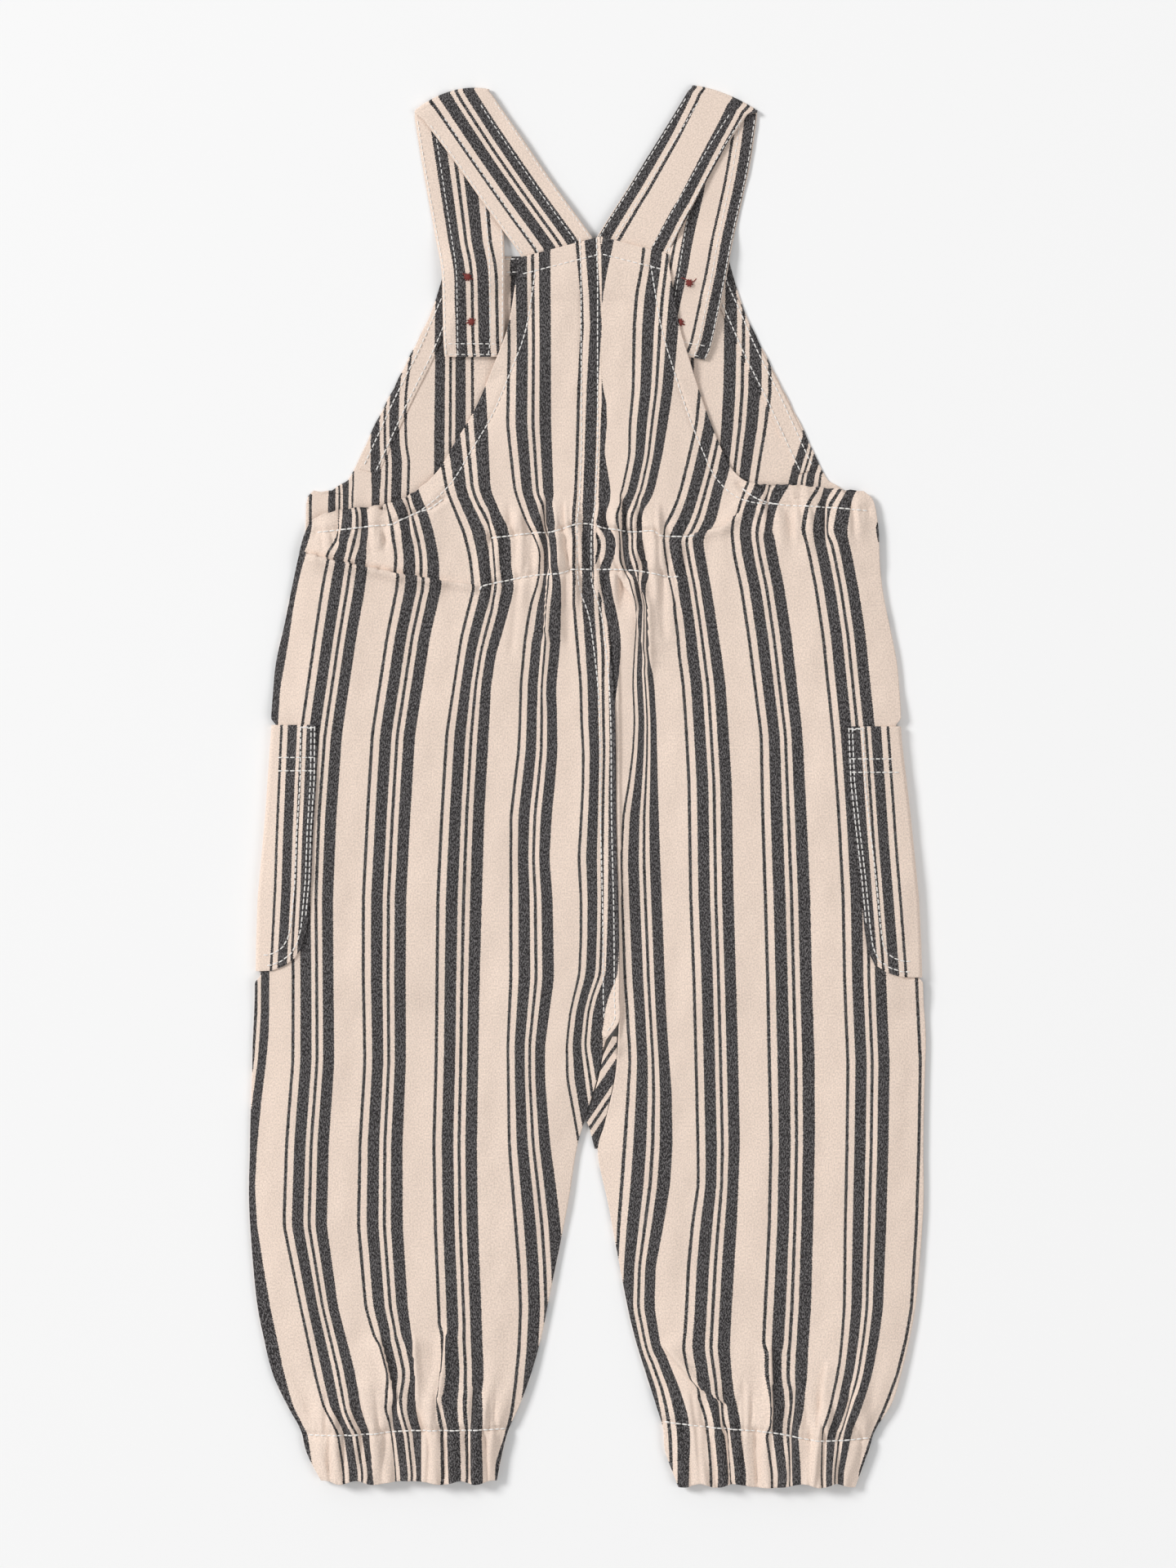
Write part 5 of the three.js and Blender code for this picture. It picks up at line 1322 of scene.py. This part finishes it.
def gusset_grid():
    """Across: the sliver on the back, a half turn that opens under the crotch, and back below."""
    y = np.linspace(-119, -172, 70)
    left, right = (np.interp(-y, -GUSSET["y"], GUSSET[key]) for key in ("left_x", "right_x"))
    s = np.linspace(0, 1, 12)[None, :]
    x_top = right[:, None] + (left - right)[:, None] * s
    y_top = np.repeat(y[:, None], 12, axis=1)
    z_top = back_top(x_top, y_top, "right") - 0.25
    angle = np.radians(np.linspace(70, -70, 7))[None, :]
    turn = ease((CROTCH_Y + 3 - y) / 5)[:, None]
    x_turn = left[:, None] - 0.9 * turn * np.cos(angle)
    z_turn = (z_top[:, -1:] + 0.6) / 2 + (z_top[:, -1:] - 0.6) / 2 * np.sin(angle)
    x = np.concatenate([x_top, x_turn, x_top[:, ::-1]], axis=1)
    z = np.concatenate([z_top, z_turn, np.full(x_top.shape, 0.6)], axis=1)
    yy = np.repeat(y[:, None], x.shape[1], axis=1)
    u = 0.83 * x - 0.56 * yy + 25.4
    return np.stack([x, yy, z, u, 0.56 * x + 0.83 * yy], -1)


piece = grid_mesh("crotch_gusset_cloth", gusset_grid())
dress(piece, CLOTH_OUT, "striped_cotton", "crotch_gusset")

# %% [markdown]
# Sewing is real thread: each stitch is a small bead of twisted cotton that dips into the cloth at
# both ends. One bead is worked out once and carried along every stitch row by whole-array sums.

# %% Stitches
STITCH_PITCH, STITCH_LENGTH, THREAD_RADIUS = 2.9, 2.4, 0.31


def bead():
    """A tapered six-sided tube along x from -1/2 to 1/2, arched so that its ends go down."""
    rings = np.array([(-0.5, 0.35, -1.3), (-0.36, 0.9, -0.1), (0.0, 1.0, 0.35), (0.36, 0.9, -0.1),
                      (0.5, 0.35, -1.3)])
    angle = np.radians(np.arange(6) * 60)
    points = [(x, r * np.cos(a), lift + r * np.sin(a)) for x, r, lift in rings for a in angle]
    index = np.arange(30).reshape(5, 6)
    quads = []
    for k in range(4):
        nxt = np.roll(index[k + 1], -1)
        quads += np.stack([index[k], np.roll(index[k], -1), nxt, index[k + 1]], 1).tolist()
    return np.array(points), np.array(quads)


def stitch_mesh(name, lines, material, pitch=STITCH_PITCH, length=STITCH_LENGTH, radius=THREAD_RADIUS):
    """All stitches of the given 3-D lines, in mm, joined into one mesh."""
    template, quads = bead()
    points, faces, used = [], [], 0
    for line in lines:
        far = np.concatenate([[0], np.cumsum(np.linalg.norm(np.diff(line, axis=0), axis=1))])
        starts = np.arange(0.3, far[-1] - length, pitch)
        if not len(starts):
            continue
        at = lambda d: np.stack([np.interp(d, far, line[:, k]) for k in range(3)], 1)
        a, b, middle = at(starts), at(starts + length), at(starts + length / 2)
        along = b - a
        long = np.linalg.norm(along, axis=1, keepdims=True)
        along = along / long
        side = np.cross((0, 0, 1), along)
        side /= np.linalg.norm(side, axis=1, keepdims=True)
        up = np.cross(along, side)
        frame_axes = np.stack([along * long, side * radius, up * radius], 1)
        made = middle[:, None, :] + np.einsum("pk,nkd->npd", template, frame_axes)
        points.append(made.reshape(-1, 3))
        first = used + np.arange(len(starts)) * len(template)
        faces.append((quads[None] + first[:, None, None]).reshape(-1, 4))
        used += len(starts) * len(template)
    print(f"{name}: {used // len(template)} stitches")
    piece = mesh_piece(name, np.concatenate(points), np.concatenate(faces))
    return dress(piece, material, "striped_cotton")


def on(height, line, side, lift=0.22):
    """A plan line with its height on a surface."""
    x, y = line[:, 0], line[:, 1]
    return np.stack([x, y, height(x, y, side) + lift], 1)


# %% [markdown]
# The rows over the elastics are sewn with a heavier thread and a longer stitch, and sink between
# the gathers. The others are fine topstitching beside the seams and hems.

# %% Stitch rows of the back, front, pockets and straps
rows = [(side, name, line) for side in ("left", "right") for name, line in BACK_STITCHES[side].items()]
plain = [on(back_top, line, side) for side, name, line in rows if name not in ELASTIC_ROWS]
stitch_mesh("back_stitching", plain, THREAD)
heavy = [on(back_top, line, side, 0.4) for side, name, line in rows if name in ELASTIC_ROWS]
stitch_mesh("elastic_stitching", heavy, THREAD, pitch=3.1, length=2.9, radius=0.4)


def facing_line(side, inset, start, stop):
    """A row along the facing, inset mm from its outer edge."""
    out = -1 if side == "left" else 1
    rows = np.array(FACING_PATH, float) * (out, 1, out, 1)
    return inset_line(rows, "out", inset, start, stop, 200)


lines = [on(front_face, facing_line(side, inset, 0.1, 8.8), side, lift=0.78)
         for side in ("left", "right") for inset in (1.4, 7.6)]
stitch_mesh("front_stitching", lines, THREAD)


def pocket_lines(side):
    """A bar at the pocket's top corner, three rows along its free edge, and two along its hem."""
    y, back_x, _ = pocket_rows(side, 60)
    out = -1 if side == "left" else 1
    side_x = lambda height: body_ends(side, height)[1] - out * (POCKET_INSET + 0.7)
    free = np.stack([np.append(back_x, side_x(y[-1]) + out * 4), np.append(y, y[-1] - 0.2)], 1)
    far = np.concatenate([[0], np.cumsum(np.linalg.norm(np.diff(free, axis=0), axis=1))])
    free = np.stack([np.interp(np.linspace(0, far[-1], 90), far, free[:, k]) for k in (0, 1)], 1)
    along = np.gradient(free, axis=0)
    normal = out * np.stack([-along[:, 1], along[:, 0]], 1) / np.linalg.norm(along, axis=1, keepdims=True)
    made = [np.linspace((back_x[0] + out * a, y[0] - b), (back_x[0] + out * c, y[0] - d), 8)
            for a, b, c, d in ((0.6, 1.0, 8.2, 0.6), (7.6, 0.7, 0.9, 1.6))]
    for inset, foot in ((0.8, 24), (2.5, 0), (7.4, 0)):
        row = free + normal * inset
        made.append(row[(np.abs(row[:, 0]) < np.abs(side_x(row[:, 1]))) & (row[:, 1] > y[-1] + foot)])
    for drop in (15.0, 21.3):
        start = np.interp(-(y[0] - drop), -y, back_x) + out
        made.append(np.stack([np.linspace(start, side_x(y[0] - drop), 20), np.full(20, y[0] - drop)], 1))
    return made


lines = [on(lambda x, y, s: back_top(x, y, s) + POCKET_CLEAR + 0.55, line, side)
         for side in ("left", "right") for line in pocket_lines(side)]
stitch_mesh("pocket_stitching", lines, THREAD)


def strap_lines(side):
    """Rows near both edges and 7 mm inside them on both runs, and two rows across the lower end."""
    made = []
    half = 0.5 * STRAP - 0.02
    for s in (0.032, 0.235, 0.765, 0.968):
        middle = strap_middle(side, np.array([[s]]))[:, 0]
        lower, upper = middle[2 : LOWER_COUNT - 1], middle[UPPER_FROM + 3 :]
        made += [lower + (0, 0, half), upper + (0, 0, half)]
    for row in (4, 15):
        across = strap_middle(side, np.linspace(0.06, 0.94, 20)[None, :])[row]
        made.append(across + (0, 0, half))
    return made


lines = [line for side in ("left", "right") for line in strap_lines(side)]
stitch_mesh("strap_stitching", lines, THREAD, radius=0.24)

# %% [markdown]
# The buttons lie under the front. Their thread comes up through the strap and shows as a small
# dark red knot with loose tails. The buttons themselves are seen from below: a dished disc with a
# rim; its four holes are not made.

# %% Buttons and knots


def tube(path, radius, sides=8):
    """A round tube along a path of points, its sections square to the path, closed at both ends."""
    path = np.asarray(path, float)
    along = np.gradient(path, axis=0)
    along /= np.linalg.norm(along, axis=1, keepdims=True)
    side = np.cross(along, (0.13, 0.21, 0.97))
    side /= np.linalg.norm(side, axis=1, keepdims=True)
    up = np.cross(side, along)
    angle = np.linspace(0, 2 * np.pi, sides, endpoint=False)
    taper = np.full(len(path), radius)
    taper[[0, -1]] *= 0.15
    ring = np.cos(angle)[None, :, None] * side[:, None] + np.sin(angle)[None, :, None] * up[:, None]
    return path[:, None] + ring * taper[:, None, None]


def tubes_mesh(name, tubes):
    """Rings of points joined to tubes, all in one mesh."""
    points, faces, used = [], [], 0
    for ring in tubes:
        rows, sides = ring.shape[:2]
        index = used + np.arange(rows * sides).reshape(rows, sides)
        nxt = np.roll(index, -1, axis=1)
        faces.append(np.stack([index[:-1], index[1:], nxt[1:], nxt[:-1]], -1).reshape(-1, 4))
        points.append(ring.reshape(-1, 3))
        used += rows * sides
    return mesh_piece(name, np.concatenate(points), np.concatenate(faces))


def knot_paths(x, y, z, tails):
    """Crossed wraps of thread round a spot, and loose tails that leave it."""
    made = []
    for turn in np.radians((20, 65, 110, 155)):
        t = np.linspace(-1, 1, 9)
        made.append(np.stack([x + 2.0 * t * np.cos(turn), y + 2.0 * t * np.sin(turn),
                              z + 0.75 * (1 - t * t)], 1))
    for dx, dy in tails:
        t = np.linspace(0, 1, 9)
        bend = 0.5 * np.sin(np.pi * t)
        made.append(np.stack([x + dx * t + bend * dy / 4, y + dy * t - bend * dx / 4,
                              z + 0.35 * (1 - t)], 1))
    return made


# %% [markdown]
# Each knot is four crossed wraps of thread and two loose tails, all in one mesh.

# %% Knots on the straps
KNOTS = [
    ("left", -56.6, 238.2, [(-2.6, 1.6), (2.8, -0.8)]), ("left", -55.0, 217.3, [(2.2, 1.5), (-2.5, -1.0)]),
    ("right", 47.7, 235.4, [(-4.6, 2.6), (3.5, 2.5)]), ("right", 43.3, 217.0, [(2.6, -1.2), (-2.4, 1.0)]),
]


tubes = []
for side, x, y, tails in KNOTS:
    z = float(lower_run(np.array(x), np.array(y), side)) + STRAP + 0.05
    tubes += [tube(path, 0.42 if k < 4 else 0.24) for k, path in enumerate(knot_paths(x, y, z, tails))]
dress(tubes_mesh("button_knots", tubes), KNOT_THREAD, "button")


# %% [markdown]
# The buttons are turned discs: one profile goes round the middle. Two threads cross between the
# holes, and the shank goes up into the cloth.

# %% Buttons


def button_grid(x, y):
    """A lathe profile turned once: face with a dish and rim, side, back and shank."""
    r = BUTTON["radius"]
    profile = np.array([(0.02, 0.45), (2.4, 0.42), (3.9, 0.38), (4.4, 0.12), (4.9, 0.02), (5.8, 0.02),
                        (6.3, 0.2), (r, 0.6), (r, 1.1), (6.2, 1.5), (5.6, 1.6), (1.1, 1.6), (0.9, 1.8),
                        (0.8, 2.9), (0.02, 2.9)])
    angle = np.linspace(0, 2 * np.pi, 40, endpoint=False)
    ring = np.stack([x + profile[:, :1] * np.cos(angle), y + profile[:, :1] * np.sin(angle),
                     np.repeat(profile[:, 1:], 40, axis=1)], -1)
    return ring


NAMES = ("left_upper", "left_lower", "right_upper", "right_lower")
for name, x, y in zip(NAMES, BUTTONS["x"], BUTTONS["y"]):
    t = np.linspace(-1, 1, 7)
    thread = [tube(np.stack([x + 1.2 * t, y + turn * 1.2 * t, 0.36 + 0.25 * t**2], 1), 0.3)
              for turn in (1, -1)]
    disc = tubes_mesh(f"button_{name}_disc", [button_grid(x, y)])
    dress(disc, HORN, "button", f"button_{name}")
    dress(tubes_mesh(f"button_{name}_thread", thread), KNOT_THREAD, "button")

# %% [markdown]
# A cut-out on white is a garment on a pale floor in soft light. One wide softbox from the upper
# left gives the folds their shade, and the white sky fills the rest. The camera looks straight
# down from far away, so that nothing leans.

# %% Floor, light and camera
bpy.ops.mesh.primitive_plane_add(size=6, location=(0, 0, 0))
floor = bpy.context.object
floor.name = "floor"
floor.data.materials.append(FLOOR)

world = bpy.context.scene.world or bpy.data.worlds.new("world")
bpy.context.scene.world = world
world.use_nodes = True
world.node_tree.nodes["Background"].inputs["Color"].default_value = (1, 1, 1, 1)
world.node_tree.nodes["Background"].inputs["Strength"].default_value = 0.44


def softbox(name, place, size, power, target=(0, 0, 0)):
    """A square area lamp that faces the target."""
    light = bpy.data.lights.new(name, "AREA")
    light.size, light.energy = size, power
    lamp = bpy.data.objects.new(name, light)
    lamp.location = place
    aim = np.array(target, float) - np.array(place, float)
    lamp.rotation_euler = Vector(aim).to_track_quat("-Z", "Y").to_euler()
    bpy.context.scene.collection.objects.link(lamp)


softbox("key", (-7.7, 3.6, 6.1), 3.0, 790)
softbox("fill", (4.5, -1.5, 5.5), 4.0, 110)

PICTURE_ROWS, SCALE = 1920, 0.385
VIEW_HEIGHT = PICTURE_ROWS * SCALE * MM
CAMERA_HEIGHT = 2.6
camera = bpy.data.objects.new("camera", bpy.data.cameras.new("camera"))
camera.data.sensor_fit = "VERTICAL"
camera.data.sensor_height = 24
camera.data.lens = 24 * CAMERA_HEIGHT / VIEW_HEIGHT
camera.location = (0, -0.2 * MM, CAMERA_HEIGHT)
bpy.context.scene.collection.objects.link(camera)
bpy.context.scene.camera = camera
bpy.context.scene.view_settings.view_transform = "Standard"
